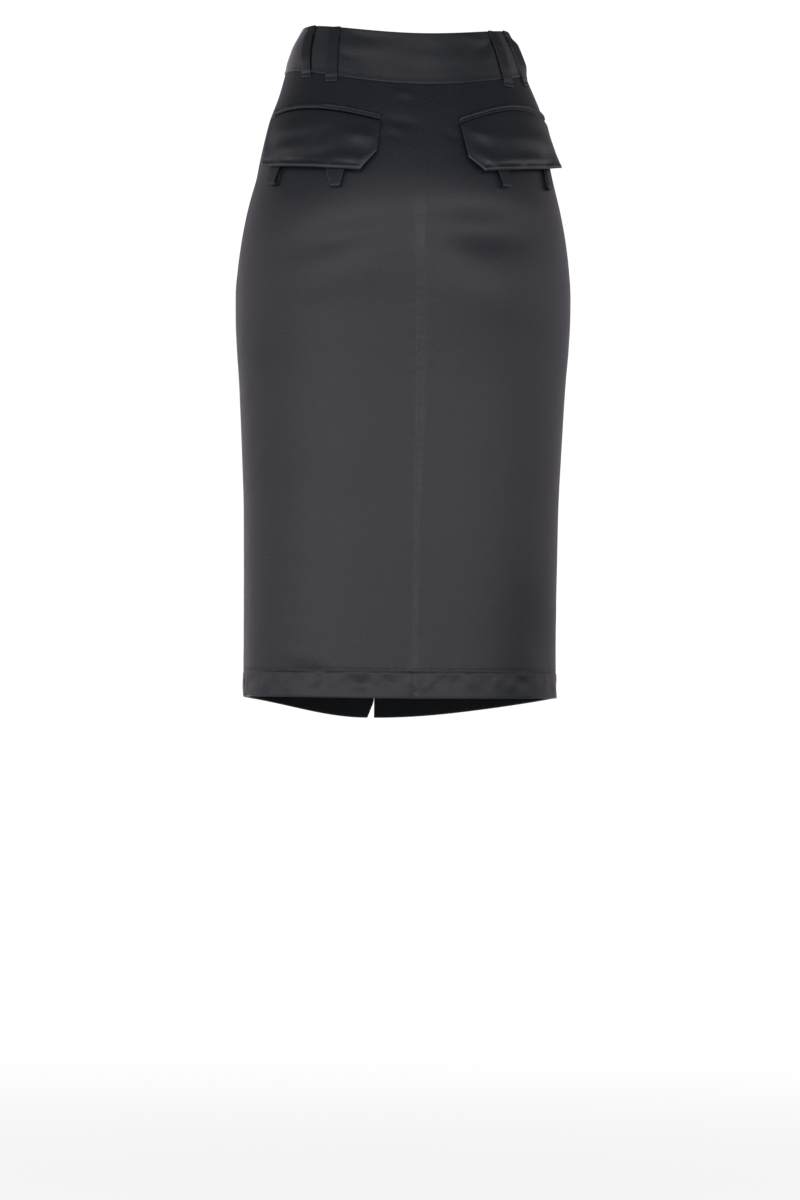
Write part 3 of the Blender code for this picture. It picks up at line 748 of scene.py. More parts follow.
@dataclass(frozen=True)
class SatinFinish:
    """Black satin, whose warp floats spread a highlight sideways more than up and down."""

    name: str
    weave: SatinWeave
    kind: Weave
    colour: tuple[float, float, float] = (0.0098, 0.0165, 0.0200)
    roughness: float = 0.40
    spread: float = 0.75
    level: float = 0.5
    bump: float = 0.10
    depth: float = 0.12
    sheen_change: float = 0.10
    shade_change: float = 0.5
    press_shine: float = 0.14

    def build(self) -> Material:
        """Makes the material.

        Returns:
            A Principled material with the weave in its bump, roughness and colour. Where the piece's own
            attribute says that the iron has pressed a seam, it is smoother.
        """
        graph = Surface(self.name)
        values = dict(zip(SatinWeave.INPUTS, self.kind.value))
        values["Cloth"] = graph.node("ShaderNodeUVMap", uv_map=FLAT_MAP).outputs["UV"]
        weave = graph.node("ShaderNodeGroup", values, node_tree=self.weave.tree).outputs
        rough = graph.maths("MULTIPLY_ADD", weave["Sheen"], self.sheen_change, self.roughness)
        pressed = graph.node("ShaderNodeAttribute", attribute_name=PRESSED).outputs["Fac"]
        shade = graph.maths("ADD", weave["Shade"], 0.5)
        tangent = graph.node("ShaderNodeTangent", direction_type="UV_MAP", uv_map=FLAT_MAP).outputs["Tangent"]
        graph.fill(graph.shader, {
            "Base Color": graph.toned(shade, self.colour, self.shade_change),
            "Roughness": graph.maths("MULTIPLY_ADD", pressed, -self.press_shine, rough),
            "Normal": graph.bumped(weave["Height"], self.bump, self.depth),
            "Tangent": tangent,
            "Specular IOR Level": self.level,
            "Anisotropic": self.spread,
        })
        return graph.material


@dataclass(frozen=True)
class PlainFinish:
    """A thread, tape, horn or metal finish: one colour, with fine noise in its roughness and bump."""

    name: str
    colour: tuple[float, float, float]
    roughness: float
    metallic: float = 0.0
    grain: float = 900.0
    bump: float = 0.15
    depth: float = 0.05
    stretch: tuple[float, float, float] = (1.0, 1.0, 1.0)
    rough_change: float = 0.3
    shade_change: float = 0.3

    def build(self) -> Material:
        """Makes the material.

        Returns:
            A Principled material whose noise reads Object coordinates.
        """
        graph = Surface(self.name)
        place = graph.stretch(graph.node("ShaderNodeTexCoord").outputs["Object"], self.stretch)
        noise = graph.noise(place, self.grain, 3.0)
        graph.fill(graph.shader, {
            "Base Color": graph.toned(noise, self.colour, self.shade_change),
            "Roughness": graph.maths("MULTIPLY_ADD", graph.centred(noise), self.rough_change, self.roughness),
            "Normal": graph.bumped(noise, self.bump, self.depth),
            "Metallic": self.metallic,
        })
        return graph.material


class Finishes:
    """Every material of the skirt, built once."""

    def __init__(self) -> None:
        """Builds the weave group and the materials."""
        weave = SatinWeave()
        self.satin = SatinFinish("Black satin", weave, Weave.FACE).build()
        self.firm = SatinFinish("Interfaced satin", weave, Weave.FACE, level=0.68).build()
        self.underside = SatinFinish(
            "Satin underside", weave, Weave.UNDERSIDE, (0.0085, 0.0125, 0.0142), 0.7, 0.2, 0.12, 0.25
        ).build()
        self.thread = PlainFinish("Black thread", (0.010, 0.010, 0.011), 0.5, grain=4000.0).build()
        self.tape = PlainFinish("Zip tape", (0.012, 0.012, 0.013), 0.8, grain=2500.0, bump=0.5).build()
        self.horn = PlainFinish(
            "Button horn", (0.012, 0.011, 0.010), 0.28, grain=260.0, stretch=(1.0, 1.0, 0.3)
        ).build()
        self.metal = PlainFinish("Zip metal", (0.10, 0.10, 0.105), 0.35, 1.0, grain=1500.0).build()

    def cloth(self, piece: Object) -> None:
        """Dresses a sheet: satin outside, its back inside."""
        piece.data.materials.append(self.satin)
        piece.data.materials.append(self.underside)


class Half(Enum):
    """The back or the front of the skirt, as the word in the names of its panels."""

    BACK = "back"
    FRONT = "front"

    @property
    def is_front(self) -> bool:
        """Whether this is the front."""
        return self is Half.FRONT


@dataclass(frozen=True)
class Panel:
    """A panel of the skirt, cut in one with its seam allowances and the turn-up of its hem.

    Across, the surface comes out of the allowance at the centre seam, round the fold of the seam, over the
    face to the side seam, and back into that allowance. Down, it starts behind the waistband, runs down to
    the fold of the hem, round it, and up the inside to the raw edge. Both folds are half circles.
    """

    form: SkirtForm
    lines: SeamLines
    side: Side
    half: Half
    columns: int = 104
    rows: int = 250
    thickness: float = 0.5
    seam_radius: float = 0.26
    hem_radius: float = 1.15
    seam_gap: float = -0.16
    seam_pinch: float = 0.5
    allowance: float = 13.0
    allowance_drop: float = 0.7
    behind_band: float = 4.0
    turn_past_stitches: float = 4.0
    strip_rise: float = 0.34
    strip_width: float = 9.5
    side_ledge: float = 0.14
    front_ledge: float = 0.1
    slack: float = 0.07
    corner_tuck: float = 3.0
    doubled_rise: float = 0.42

    FOLD_TURNS = (-90.0, -50.0, -18.0, 18.0, 50.0)
    SIDE_GROOVE = Ridge(-0.22, 0.0, 1.6)
    FRONT_GROOVE = Ridge(-0.2, 0.0, 1.4)
    BACK_GROOVE = Ridge(-0.10, 4.0, 3.0)
    STRIP_GROOVE = Ridge(-0.25, 5.0, 3.0)
    HEM_GROOVE = Ridge(-0.45, 0.0, 1.1)
    SEAM_PUCKER = Pucker(0.14, 9.0, 1.0, 7.0)
    SIDE_PUCKER = Pucker(0.12, 17.0, 5.0, 6.0)
    WAIST_PUCKER = Pucker(0.22, 13.0, 7.0, 5.0)
    HEM_PUCKER = Pucker(0.24, 8.5, 9.0, 3.0)

    def _across(self) -> tuple[Array, Array, Array]:
        """Columns from the centre seam's allowance to the side seam's.

        Returns:
            The share of the face (0 at the centre seam), the distance from that share's place, and the lift.
        """
        face = crowded(self.columns + 1, 0.62)
        turn = np.radians(self.FOLD_TURNS)
        radius = self.seam_radius
        inside = np.concatenate([np.linspace(1.0, 0.2, 9) * self.allowance, (2.4 * radius,)])
        near = np.concatenate([inside - radius, -self.seam_pinch * radius * np.cos(turn)])
        clear = -2.0 * radius - self.allowance_drop * ease(inside, 0.0, 0.3 * self.allowance)
        lift = np.concatenate([clear, radius * (np.sin(turn) - 1.0)])
        share = np.concatenate([np.zeros(len(near)), face, np.ones(len(near))])
        away = np.concatenate([near, np.zeros(len(face)), -near[::-1]])
        return share, away, np.concatenate([lift, np.zeros(len(face)), lift[::-1]])

    def _down(self) -> tuple[Array, Array, Array]:
        """Rows from behind the waistband to the raw edge of the turn-up.

        Returns:
            The share of the face, the angle round the hem's fold, and the share of the turn-up.
        """
        close_from = 0.955
        near_hem = close_from + (1.0 - close_from) * np.linspace(0.06, 1.0, 22)
        face = np.concatenate([(-1.0,), crowded(self.rows + 1, -0.28) * close_from, near_hem])
        turn = np.linspace(0.0, np.pi, 9)[1:]
        up = np.linspace(0.0, 1.0, 8)[1:]
        share = np.concatenate([face, np.ones(len(turn) + len(up))])
        angle = np.concatenate([np.zeros(len(face)), turn, np.full(len(up), np.pi)])
        raised = np.concatenate([np.zeros(len(face) + len(turn)), up])
        return share, angle, raised

    def seams(self, height: Array, across: Array) -> tuple[Array, Array, Array]:
        """Distances of the panel's two edges from the centre back, and the lift of its centre edge."""
        lines = self.lines
        side = lines.side(height)
        gap = self.seam_gap / 2
        if not self.half.is_front:
            return self.side.value * lines.back(height) + gap, side - gap, np.zeros_like(height)
        half = self.form.half_ring(height)
        if self.side is Side.LEFT:
            away = lines.drift(height) + lines.gape(height) + lines.corner_opening(height)
            return half - away - gap, side + gap, lines.corner_flare(height, across)
        edge = half + lines.drift(height) - lines.gape(height) + lines.lap(height) - gap
        lift = lines.FLY_LIFT * ease(height, lines.FLY_END - lines.FLY_FADE, lines.FLY_END)
        before = across * np.abs(edge - side)
        return edge, side + gap, lift * ease(before, lines.FLY_FLAT + lines.FLY_RAMP, lines.FLY_FLAT)

    def share_round(self, across: Array) -> Array:
        """Share of the half ring, with its sign, for a share of the panel from its centre seam."""
        if self.half.is_front:
            return self.side.value * (1.0 - across * (1.0 - self.lines.side_share))
        return self.side.value * across * self.lines.side_share

    def relief(self, tape: Array, height: Array, near: Array, far: Array, share: Array) -> Array:
        """Fine relief of the face: small creases, puckers, pressed seams, and the hem's stitches.

        A pressed seam is a groove beside a low ledge, where the allowances lie under the cloth.

        Args:
            tape: Places along the tape.
            height: Heights.
            near: Distance of each point from the centre seam.
            far: Distance from the side seam.
            share: Share of the half ring.

        Returns:
            The lift in millimetres.
        """
        edges = self.lines.edges
        seed = self.side.value + 3.0 * self.half.is_front
        rise = laid(CREASES, tape, height)
        slack = self.slack * wave(height + 0.4 * tape, 47.0, seed)
        rise += slack * wave(tape - 0.3 * height, 61.0, seed + 2.0)
        rise += self._centre_seam(height, near, seed)
        rise += self.SIDE_GROOVE.at(far) + self.SIDE_PUCKER.beside(height, far, seed)
        rise += self.side_ledge * ledge(far)
        rise += self.WAIST_PUCKER.beside(tape, edges.band_seam(share) - height, seed)
        if self.side is Side.LEFT:
            rise -= self.corner_tuck * ease(height - edges.hem(share), 8.0, 0.0) ** 2 * mound(far, 0.0, 16.0)
        return rise + self._hem_relief(tape, height, share, seed)

    def _strip_edge(self, height: Array) -> Array:
        """Width of the pressed strip beside the back seam, narrower below the thigh."""
        return self.strip_width - 4.0 * ease(height, -380.0, -500.0) + 0.8 * wave(height, 70.0, 3.0)

    def _centre_seam(self, height: Array, near: Array, seed: float) -> Array:
        """Relief beside the centre seam: at the back, both allowances are pressed to the wearer's right."""
        pucker = self.SEAM_PUCKER.beside(height, near, seed) * ease(near, 0.0, 2.0)
        if self.half.is_front:
            return pucker * 0.7 + self.FRONT_GROOVE.at(near) + self.front_ledge * ledge(near)
        seen = 0.2 + 0.8 * ease(height, -100.0, -190.0)
        if self.side is Side.LEFT:
            return seen * (pucker + self.BACK_GROOVE.at(near))
        strength = 0.8 + 0.35 * wave(height, 95.0, 1.0)
        past = near - self._strip_edge(height)
        strip = ease(near, 0.1, 2.4) * (1.0 - ease(past, -1.0, 4.0)) + self.STRIP_GROOVE.at(past)
        return seen * (pucker + self.strip_rise * strength * strip)

    def _pressed(self, height: Array, across: Array) -> Array:
        """How shiny the iron has made each point: most on the strip by the back seam and at the seam."""
        near_seam, far_seam, _ = self.seams(height, across)
        near = across * np.abs(far_seam - near_seam)
        if self.half.is_front or self.side is Side.LEFT:
            return 0.3 * mound(near, 0.0, 2.0)
        strip = ease(near - self._strip_edge(height), 1.0, -2.0) * (0.7 + 0.4 * wave(height, 60.0, 2.0))
        return (strip + 0.6 * mound(near, 0.6, 1.2)) * ease(height, -110.0, -200.0)

    def _hem_relief(self, tape: Array, height: Array, share: Array, seed: float) -> Array:
        """Relief of the hem: a groove at the stitches, puckers, and soft waves in the doubled cloth."""
        above = height - self.lines.edges.hem_stitches(share)
        sewn = self.HEM_GROOVE.at(above) + self.HEM_PUCKER.beside(tape, above, seed)
        middle = -13.0 + 4.0 * wave(tape, 90.0, seed)
        waves = 0.75 * wave(tape, 41.0, seed + 11.0) * mound(above, middle, 6.5)
        waves = waves + 0.35 * wave(tape, 17.0, seed + 3.0) * mound(above, -8.0, 5.0)
        return sewn + self.doubled_rise * ease(above, 0.8, -2.0) + waves

    def on_face(self, across: Array, height: Array, away: Array | float = 0.0) -> tuple[Array, Array]:
        """Tape and lift of points of the face.

        Args:
            across: Share of the panel's width, 0 at the centre seam.
            height: Heights.
            away: Distance past that place, for the allowances.

        Returns:
            The place on the tape, with its sign, and how far the face stands off the form.
        """
        near_seam, far_seam, edge_lift = self.seams(height, across)
        inset = self.seam_pinch * self.seam_radius * (-1.0 if self.half.is_front else 1.0)
        start, end = near_seam + inset, far_seam - inset
        along = start + across * (end - start) + away * math.copysign(1.0, inset)
        tape = self.side.value * along
        near, far = np.abs(along - near_seam), np.abs(far_seam - along)
        return tape, edge_lift + self.relief(tape, height, near, far, self.share_round(across))

    def build(self, finishes: Finishes) -> Object:
        """Makes the panel and dresses it.

        Args:
            finishes: The materials.

        Returns:
            The panel, placed.
        """
        share_in, away, column_lift = (values[None, :] for values in self._across())
        down, angle, raised = (values[:, None] for values in self._down())
        across = np.clip(share_in, 0.0, 1.0) + 0.0 * down
        share = self.share_round(across)
        edges = self.lines.edges
        top = edges.band_seam(share)
        fold = edges.hem(share) + self.hem_radius
        turn_depth = edges.hem_stitches(share) + self.turn_past_stitches - fold
        face = np.clip(down, 0.0, 1.0)
        level = top + face * (fold - top) + self.behind_band * (down < 0.0)
        radius = self.hem_radius + column_lift
        height = level - radius * np.sin(angle) + raised * turn_depth
        lift = column_lift * (angle == 0.0) + (angle > 0.0) * (radius * np.cos(angle) - self.hem_radius)
        tape, face_lift = self.on_face(across, height, away)
        lift = lift + face_lift - 0.5 * (down < 0.0)
        points = self.form.point(tape, height, lift)
        plane = np.stack([tape, level - raised * turn_depth], axis=-1)
        pressed = self._pressed(height, across)
        if (self.side is Side.RIGHT) != self.half.is_front:
            points, plane, pressed = points[:, ::-1], plane[:, ::-1], pressed[:, ::-1]
        name = f"{self.half.value}_{self.side.word}"
        piece = grid_object(f"cloth_{name}", points, plane)
        finishes.cloth(piece)
        shine = piece.data.attributes.new(PRESSED, "FLOAT", "POINT")
        shine.data.foreach_set("value", pressed.astype(np.float32).ravel())
        # Painted shade: the faces of the turned-up hem take the darker, duller underside finish, though the
        # cloth there is the satin's face. It stands for the shade inside the skirt.
        shaded_turn_up = np.repeat(raised[1:, 0] > 0.0, share.shape[1] - 1)
        piece.data.polygons.foreach_set("material_index", shaded_turn_up.astype(np.int32))
        give_wall(piece, self.thickness)
        return place_piece(piece, "satin", name)


class Spot:
    """A place on the skirt with three directions: along the tape, up, and out of the cloth."""

    def __init__(self, form: SkirtForm, tape: float, height: float, lift: float) -> None:
        """Works out the middle and the three directions from points 1 mm away."""
        near = form.point(
            np.array((tape, tape + 1.0, tape - 1.0, tape, tape)),
            np.array((height, height, height, height + 1.0, height - 1.0)),
            lift,
        )
        self.middle = near[0]
        along, up = near[1] - near[2], near[3] - near[4]
        self.along = along / np.linalg.norm(along)
        out = np.cross(up, self.along)
        self.out = -out / np.linalg.norm(out)
        self.up = np.cross(self.out, self.along)

    def points(self, along: Array, up: Array, out: Array) -> Array:
        """Points at distances along the three directions, on a last axis."""
        away = (np.asarray(part)[..., None] for part in np.broadcast_arrays(along, up, out))
        return self.middle + sum(part * way for part, way in zip(away, (self.along, self.up, self.out)))


def beads_object(name: str, points: Array) -> Object:
    """Many small closed shapes in one mesh, each a tube of rings that ends in a point at both ends.

    Args:
        name: The piece's name.
        points: Shapes x rings x places round a ring x 3, in millimetres.

    Returns:
        The object, linked to the scene, at the origin.
    """
    count, rings, around = points.shape[:3]
    index = np.arange(count * rings * around).reshape(count, rings, around)
    following = np.roll(index, -1, axis=2)
    corners = np.stack([index[:, :-1], following[:, :-1], following[:, 1:], index[:, 1:]], axis=-1)
    mesh = bpy.data.meshes.new(name)
    mesh.from_pydata((points.reshape(-1, 3) * MM).tolist(), [], corners.reshape(-1, 4).tolist())
    close_mesh(mesh, BEAD_MERGE)
    mesh.shade_smooth()
    return add_object(name, mesh)


@dataclass(frozen=True)
class Stitch:
    """One stitch of thread: an ellipsoid drawn out along its row, its ends pulled into the cloth."""

    pitch: float = 3.0
    length: float = 2.3
    width: float = 0.55
    thickness: float = 0.5
    sag: float = 0.25
    across: bool = False

    def row(self, form: SkirtForm, tape: Array, height: Array, lift: Array) -> Array:
        """Stitches at even steps along a line on the cloth.

        Args:
            form: The skirt's form.
            tape: Places of the line along the tape.
            height: Its heights.
            lift: How far the cloth's face stands off the form there.

        Returns:
            Stitches x rings x places round x 3, in millimetres.
        """
        way = np.concatenate([(0.0,), np.cumsum(np.hypot(np.diff(tape), np.diff(height)))])
        middle = np.arange(0.5 * self.pitch, way[-1], self.pitch)
        tape_in, height_in, lift_in, run, rise = (
            np.interp(middle, way, line)[:, None, None]
            for line in (tape, height, lift, np.gradient(tape), np.gradient(height))
        )
        size = np.hypot(run, rise)
        run, rise = run / size, rise / size
        if self.across:
            run, rise = -rise, run
        share = np.array((-1.0, -0.86, -0.45, 0.0, 0.45, 0.86, 1.0))[None, :, None]
        turn = turns_round(THREAD_SIDES)
        fullness = np.sqrt(1.0 - share * share)
        along = share * self.length / 2
        aside = fullness * np.cos(turn) * self.width / 2
        out = fullness * np.sin(turn) * self.thickness / 2 - self.sag * share * share
        tape_out, height_out = tape_in + run * along - rise * aside, height_in + rise * along + run * aside
        return form.point(tape_out, height_out, lift_in + 0.1 + out)


def sew(name: str, rows: Sequence[Array], finishes: Finishes) -> Object:
    """Puts rows of stitches into one piece of black thread."""
    return place_piece(beads_object(name, np.concatenate(rows)), "satin", "", finishes.thread)


@dataclass(frozen=True)
class Waistband:
    """The contoured band, two thicknesses of satin folded at the top, that laps right over left in front.

    Its section is a closed line: the outer face with a slight crown, a rolled lower edge, the inner face,
    and a half circle at the top. The section is carried along the tape and shut at both ends.
    """

    form: SkirtForm
    edges: Edges
    lift: float = 0.9
    wall: float = 2.4
    lap: float = 30.0
    lap_flat: float = 4.0
    lap_ramp: float = 26.0
    clearance: float = 0.45
    crown: float = 0.8
    edge: float = 1.0
    face_rows: int = 23
    columns: int = 430
    end_radius: float = 1.2
    depth: float = 50.0

    EDGE_TURNS = (12.0, 30.0, 50.0, 70.0, 85.0)
    TOP_TURNS = (150.0, 120.0, 90.0, 60.0, 30.0)
    END_STEPS = (0.0, 0.06, 0.25, 0.55, 1.0)
    SEAM_PUCKER = Pucker(0.16, 14.0, 2.0, 4.0)
    TOP_PUCKER = Pucker(0.06, 19.0, 4.0, 5.0)
    SEAM_RIDGES = (Ridge(0.45, 0.985, 0.025), Ridge(-0.30, 0.925, 0.03))
    DENTS = (
        Fold(73.0, -13.0, 9.0, 3.0, 0.45, -0.9),
        Fold(66.0, -5.0, 13.0, 4.0, 0.30, 0.6),
        Fold(60.0, 8.0, 16.0, 4.5, 0.25, -0.6),
        Fold(44.0, -6.0, 24.0, 7.0, 0.12, 0.7),
        Fold(40.0, 6.0, 26.0, 5.0, 0.10, -0.6),
        Fold(-12.0, -16.0, 34.0, 8.0, 0.05, 0.6),
        Fold(-30.0, -4.0, 30.0, 7.0, -0.10, -0.5),
        Fold(-62.0, 8.0, 16.0, 5.0, 0.15, 0.7),
        Fold(-72.0, -2.0, 10.0, 4.0, -0.35, -0.6),
        Fold(-80.0, 4.0, 8.0, 3.0, -0.40, -0.8),
        Fold(-78.0, -12.0, 9.0, 3.5, -0.30, 0.6),
        Fold(230.0, -8.0, 26.0, 8.0, 0.20, -0.6),
        Fold(262.0, 2.0, 30.0, 7.0, -0.10, 0.5),
        Fold(-235.0, -10.0, 24.0, 8.0, -0.25, -0.6),
        Fold(-190.0, 4.0, 28.0, 7.0, 0.15, 0.5),
        Fold(170.0, 6.0, 26.0, 7.0, 0.15, 0.5),
    )

    def _section(self) -> tuple[Array, Array, Array]:
        """The closed section: share of the height from the top, offset of height, and lift."""
        face = np.linspace(0.0, 1.0, self.face_rows)
        back = face[::-1]
        roll, turn = np.radians(self.EDGE_TURNS), np.radians(self.TOP_TURNS)
        edge, half = self.edge, self.wall / 2
        share = np.concatenate([face, np.ones(len(roll)), back, np.zeros(len(turn) + 1)])
        drop = np.concatenate([
            face * edge - half * (1.0 - face),
            edge - edge * np.sin(roll),
            -half * (1.0 - back),
            half * np.sin(turn) - half,
            (-half,),
        ])
        lift = np.concatenate([
            self.crown * np.sin(np.pi * face),
            edge * np.cos(roll) - edge,
            np.full(len(back), -self.wall),
            half * np.cos(turn) - half,
            (0.0,),
        ])
        return share, drop, self.lift + lift

    def place(self, nominal: Array, down: Array, drop: Array) -> tuple[Array, Array, Array]:
        """Tape, height and extra lift of a point of the band.

        Args:
            nominal: Place along the band, as tape at the waist. Below minus half the waist it is on the lap.
            down: Share of the band's height from its top.
            drop: Added height in millimetres.

        Returns:
            The tape and height, and how far the lap lifts the point.
        """
        half = self.form.half_ring(0.0)
        share = np.where(nominal < -half, -2.0 - nominal / half, nominal / half)
        top = self.edges.band_top(share)
        bottom = self.edges.band_seam(share) + self.clearance
        height = top + down * (bottom - top) + drop
        tape = nominal * self.form.half_ring(height) / half
        raised = ease(nominal + half, self.lap_flat + self.lap_ramp, self.lap_flat)
        return tape, height, (self.wall + 0.3) * raised

    def build(self, finishes: Finishes) -> Object:
        """Makes the band and dresses it."""
        share, drop, lift = (values[:, None] for values in self._section())
        half = float(self.form.half_ring(0.0))
        ends = np.array(self.END_STEPS) * self.end_radius
        inner = np.linspace(-half - self.lap + self.end_radius, half - self.end_radius, self.columns)[1:-1]
        nominal = np.concatenate([-half - self.lap + ends, inner, half - ends[::-1]])[None, :]
        fullness = rounding(np.minimum(nominal + half + self.lap, half - nominal), self.end_radius)
        middle = self.lift - self.wall / 2
        lift = middle + (lift - middle) * fullness
        tape, height, raised = self.place(nominal + 0.0 * share, share + 0.0 * nominal, drop * fullness)
        outside = np.arange(len(share)) < self.face_rows + len(self.EDGE_TURNS)
        on_face = outside[:, None] * ease(share, 0.0, 0.04) * fullness
        relief = 0.25 * wave(nominal + 40.0 * share, 83.0, 1.0) * np.sin(2.0 * np.pi * share)
        relief = relief + self.SEAM_PUCKER.beside(nominal, (1.0 - share) * self.depth)
        relief = relief + self.TOP_PUCKER.beside(nominal, share * self.depth)
        relief = relief + sum(ridge.at(share) for ridge in self.SEAM_RIDGES) + laid(self.DENTS, tape, height)
        points = self.form.point(tape, height, lift + raised + relief * on_face)
        plane = np.stack([-height, nominal + 0.0 * share], axis=-1)
        piece = grid_object("waistband_satin", points, plane, merge=True)
        return place_piece(piece, "satin", "waistband", finishes.firm)


@dataclass(frozen=True)
class FlapSizes:
    """Outline of a pocket flap: places along the tape from the centre back, and heights of its lines."""

    inner_top: float
    inner_bottom: float
    outer_top: float
    outer_bottom: float
    top_inner: float
    top_outer: float
    arch: float
    bottom_inner: float
    bottom_outer: float
    inner_side: float
    corner: float = 0.10
    clearance: float = 4.8
    spring: float = 0.42
    gap: float = 0.3
    flare: float = 0.0

    def top(self, across: Array) -> Array:
        """Top line, an arch over a slant. across is 0 at the inner end."""
        slant = self.top_inner + (self.top_outer - self.top_inner) * across
        return slant + self.arch * np.sin(np.pi * across)

    def bottom(self, across: Array) -> Array:
        """Bottom line, straight, with the inner corner cut off on a slant."""
        slope = self.bottom_outer - self.bottom_inner
        side_end = self.top_inner - self.inner_side
        corner_level = self.bottom_inner + slope * self.corner
        cut = side_end + (corner_level - side_end) * across / self.corner
        return np.where(across < self.corner, cut, self.bottom_inner + slope * across)

    def place(self, across: Array, down: Array) -> tuple[Array, Array, Array]:
        """Tape (without its sign), height, and how far the flap's underside stands off the skirt."""
        top = self.top(across)
        height = top + down * (self.bottom(across) - top)
        drop = np.clip((top - height) / (self.top_inner - self.bottom_inner), 0.0, 1.0)
        inner = self.inner_top + (self.inner_bottom - self.inner_top) * drop
        outer = self.outer_top + (self.outer_bottom - self.outer_top) * drop
        off = self.gap + self.clearance * drop**self.spring + self.flare * ease(across, 0.7, 1.0) * drop**2
        return inner + across * (outer - inner), height, off


FLAPS = {
    Side.LEFT: FlapSizes(38.6, 46.5, 179.0, 183.0, -83.6, -71.2, 7.9, -138.0, -126.0, 33.3),
    Side.RIGHT: FlapSizes(41.0, 51.0, 182.0, 187.0, -84.5, -70.3, 12.8, -136.5, -120.3, 37.0, flare=6.0),
}

FLAP_CREASES = {
    Side.LEFT: (
        Fold(61.0, -101.0, 13.0, 8.0, 0.10, 2.2),
        Fold(63.0, -127.0, 20.0, 7.0, 0.15, 1.2),
        Fold(128.0, -90.0, 28.0, 10.0, -0.10, 2.0),
        Fold(140.0, -110.0, 24.0, 8.0, -0.10, 1.6),
        Fold(104.0, -120.0, 22.0, 6.0, -0.20, -1.0),
        Fold(168.0, -104.0, 12.0, 14.0, 0.0, -0.8),
    ),
    Side.RIGHT: (
        Fold(63.0, -96.0, 13.0, 8.0, -0.20, 2.4),
        Fold(68.0, -122.0, 13.0, 7.0, -0.35, 1.5),
        Fold(118.0, -119.0, 30.0, 5.0, 0.08, 1.2),
        Fold(112.0, -96.0, 34.0, 9.0, 0.05, 1.5),
        Fold(150.0, -98.0, 26.0, 11.0, 0.0, 1.6),
    ),
}


@dataclass(frozen=True)
class Flap:
    """A pocket flap: two thicknesses of satin turned right side out, so that its edges are rolled.

    The outer face and the underside are two grids over the outline. Near an edge a quarter circle brings
    each down to the middle of the cloth, and a low bead and a valley beside it show the seam turned inside.
    """

    form: SkirtForm
    side: Side
    sizes: FlapSizes
    wall: float = 2.4
    roll: float = 3.0
    end_roll: float = 1.5
    top_roll: float = 5.0
    tuck: float = 0.9
    under_roll: float = 1.2
    bead: float = 0.55
    fullness: float = 0.2
    corner_columns: int = 26
    columns: int = 150
    rows: int = 56

    SLANT = 0.58
    EDGE_PUCKER = Pucker(0.10, 11.0, 5.0, 5.0)
    BEAD = (Ridge(1.0, 2.4, 1.5), Ridge(-0.8, 6.0, 2.2))

    def _to_edge(self, across: Array, down: Array) -> tuple[Array, Array, Array]:
        """Distances in millimetres to the bottom edge, to the nearer end, and to the top."""
        sizes = self.sizes
        drop = sizes.top(across) - sizes.bottom(across)
        slant = np.where(across < sizes.corner, self.SLANT, 1.0)
        ends = np.minimum(across, 1.0 - across) * (sizes.outer_top - sizes.inner_top)
        return (1.0 - down) * drop * slant, ends + 0.0 * down, down * drop

    def build(self, finishes: Finishes) -> Object:
        """Makes the flap and dresses it."""
        corner = self.sizes.corner
        inner = crowded(self.corner_columns, 0.75) * corner
        outer = corner + crowded(self.columns - self.corner_columns, 0.8) * (1.0 - corner)
        across = np.concatenate([inner, outer[1:]])[None, :]
        down = crowded(self.rows, 0.85)[:, None]
        tape, height, clearance = self.sizes.place(across, down)
        below, ends, from_top = self._to_edge(across, down)
        edge = np.minimum(below, ends)
        at_border = (across <= 0.0) | (across >= 1.0) | (down <= 0.0) | (down >= 1.0)
        middle = clearance + self.wall / 2 - self.tuck * mound(from_top, 0.0, 2.5)
        on_slant = ease(across, corner * 1.2, corner * 0.8)
        top_roll = rounding(from_top, self.top_roll)
        roll = self.roll + (self.end_roll - self.roll) * on_slant
        over = rounding(below, roll) * rounding(ends, self.end_roll) * (self.wall / 2 + self.fullness)
        uneven = 0.75 + 0.5 * wave(tape, 31.0, 2.0 + self.side.value)
        strength = self.bead * uneven * (1.0 - on_slant) * ease(ends, 0.0, 6.0)
        over = over + strength * sum(ridge.at(below) for ridge in self.BEAD)
        over = over + 0.12 * wave(tape + height, 37.0, 6.0) * ease(edge, 0.0, 10.0)
        over = over + laid(FLAP_CREASES[self.side], tape, height) * ease(edge, 0.0, 6.0)
        over = over * top_roll + self.EDGE_PUCKER.beside(tape, edge) * rounding(edge, 2.0)
        under = rounding(edge, self.under_roll) * rounding(from_top, self.under_roll) * self.wall / 2
        front, rear = (
            self.form.point(self.side.value * tape, height, middle + np.where(at_border, 0.0, lift))
            for lift in (over, -under)
        )
        name = f"flap_{self.side.word}"
        piece = two_faced(f"{name}_satin", front, rear, np.stack([tape, height], axis=-1))
        return place_piece(piece, "satin", name, finishes.firm)


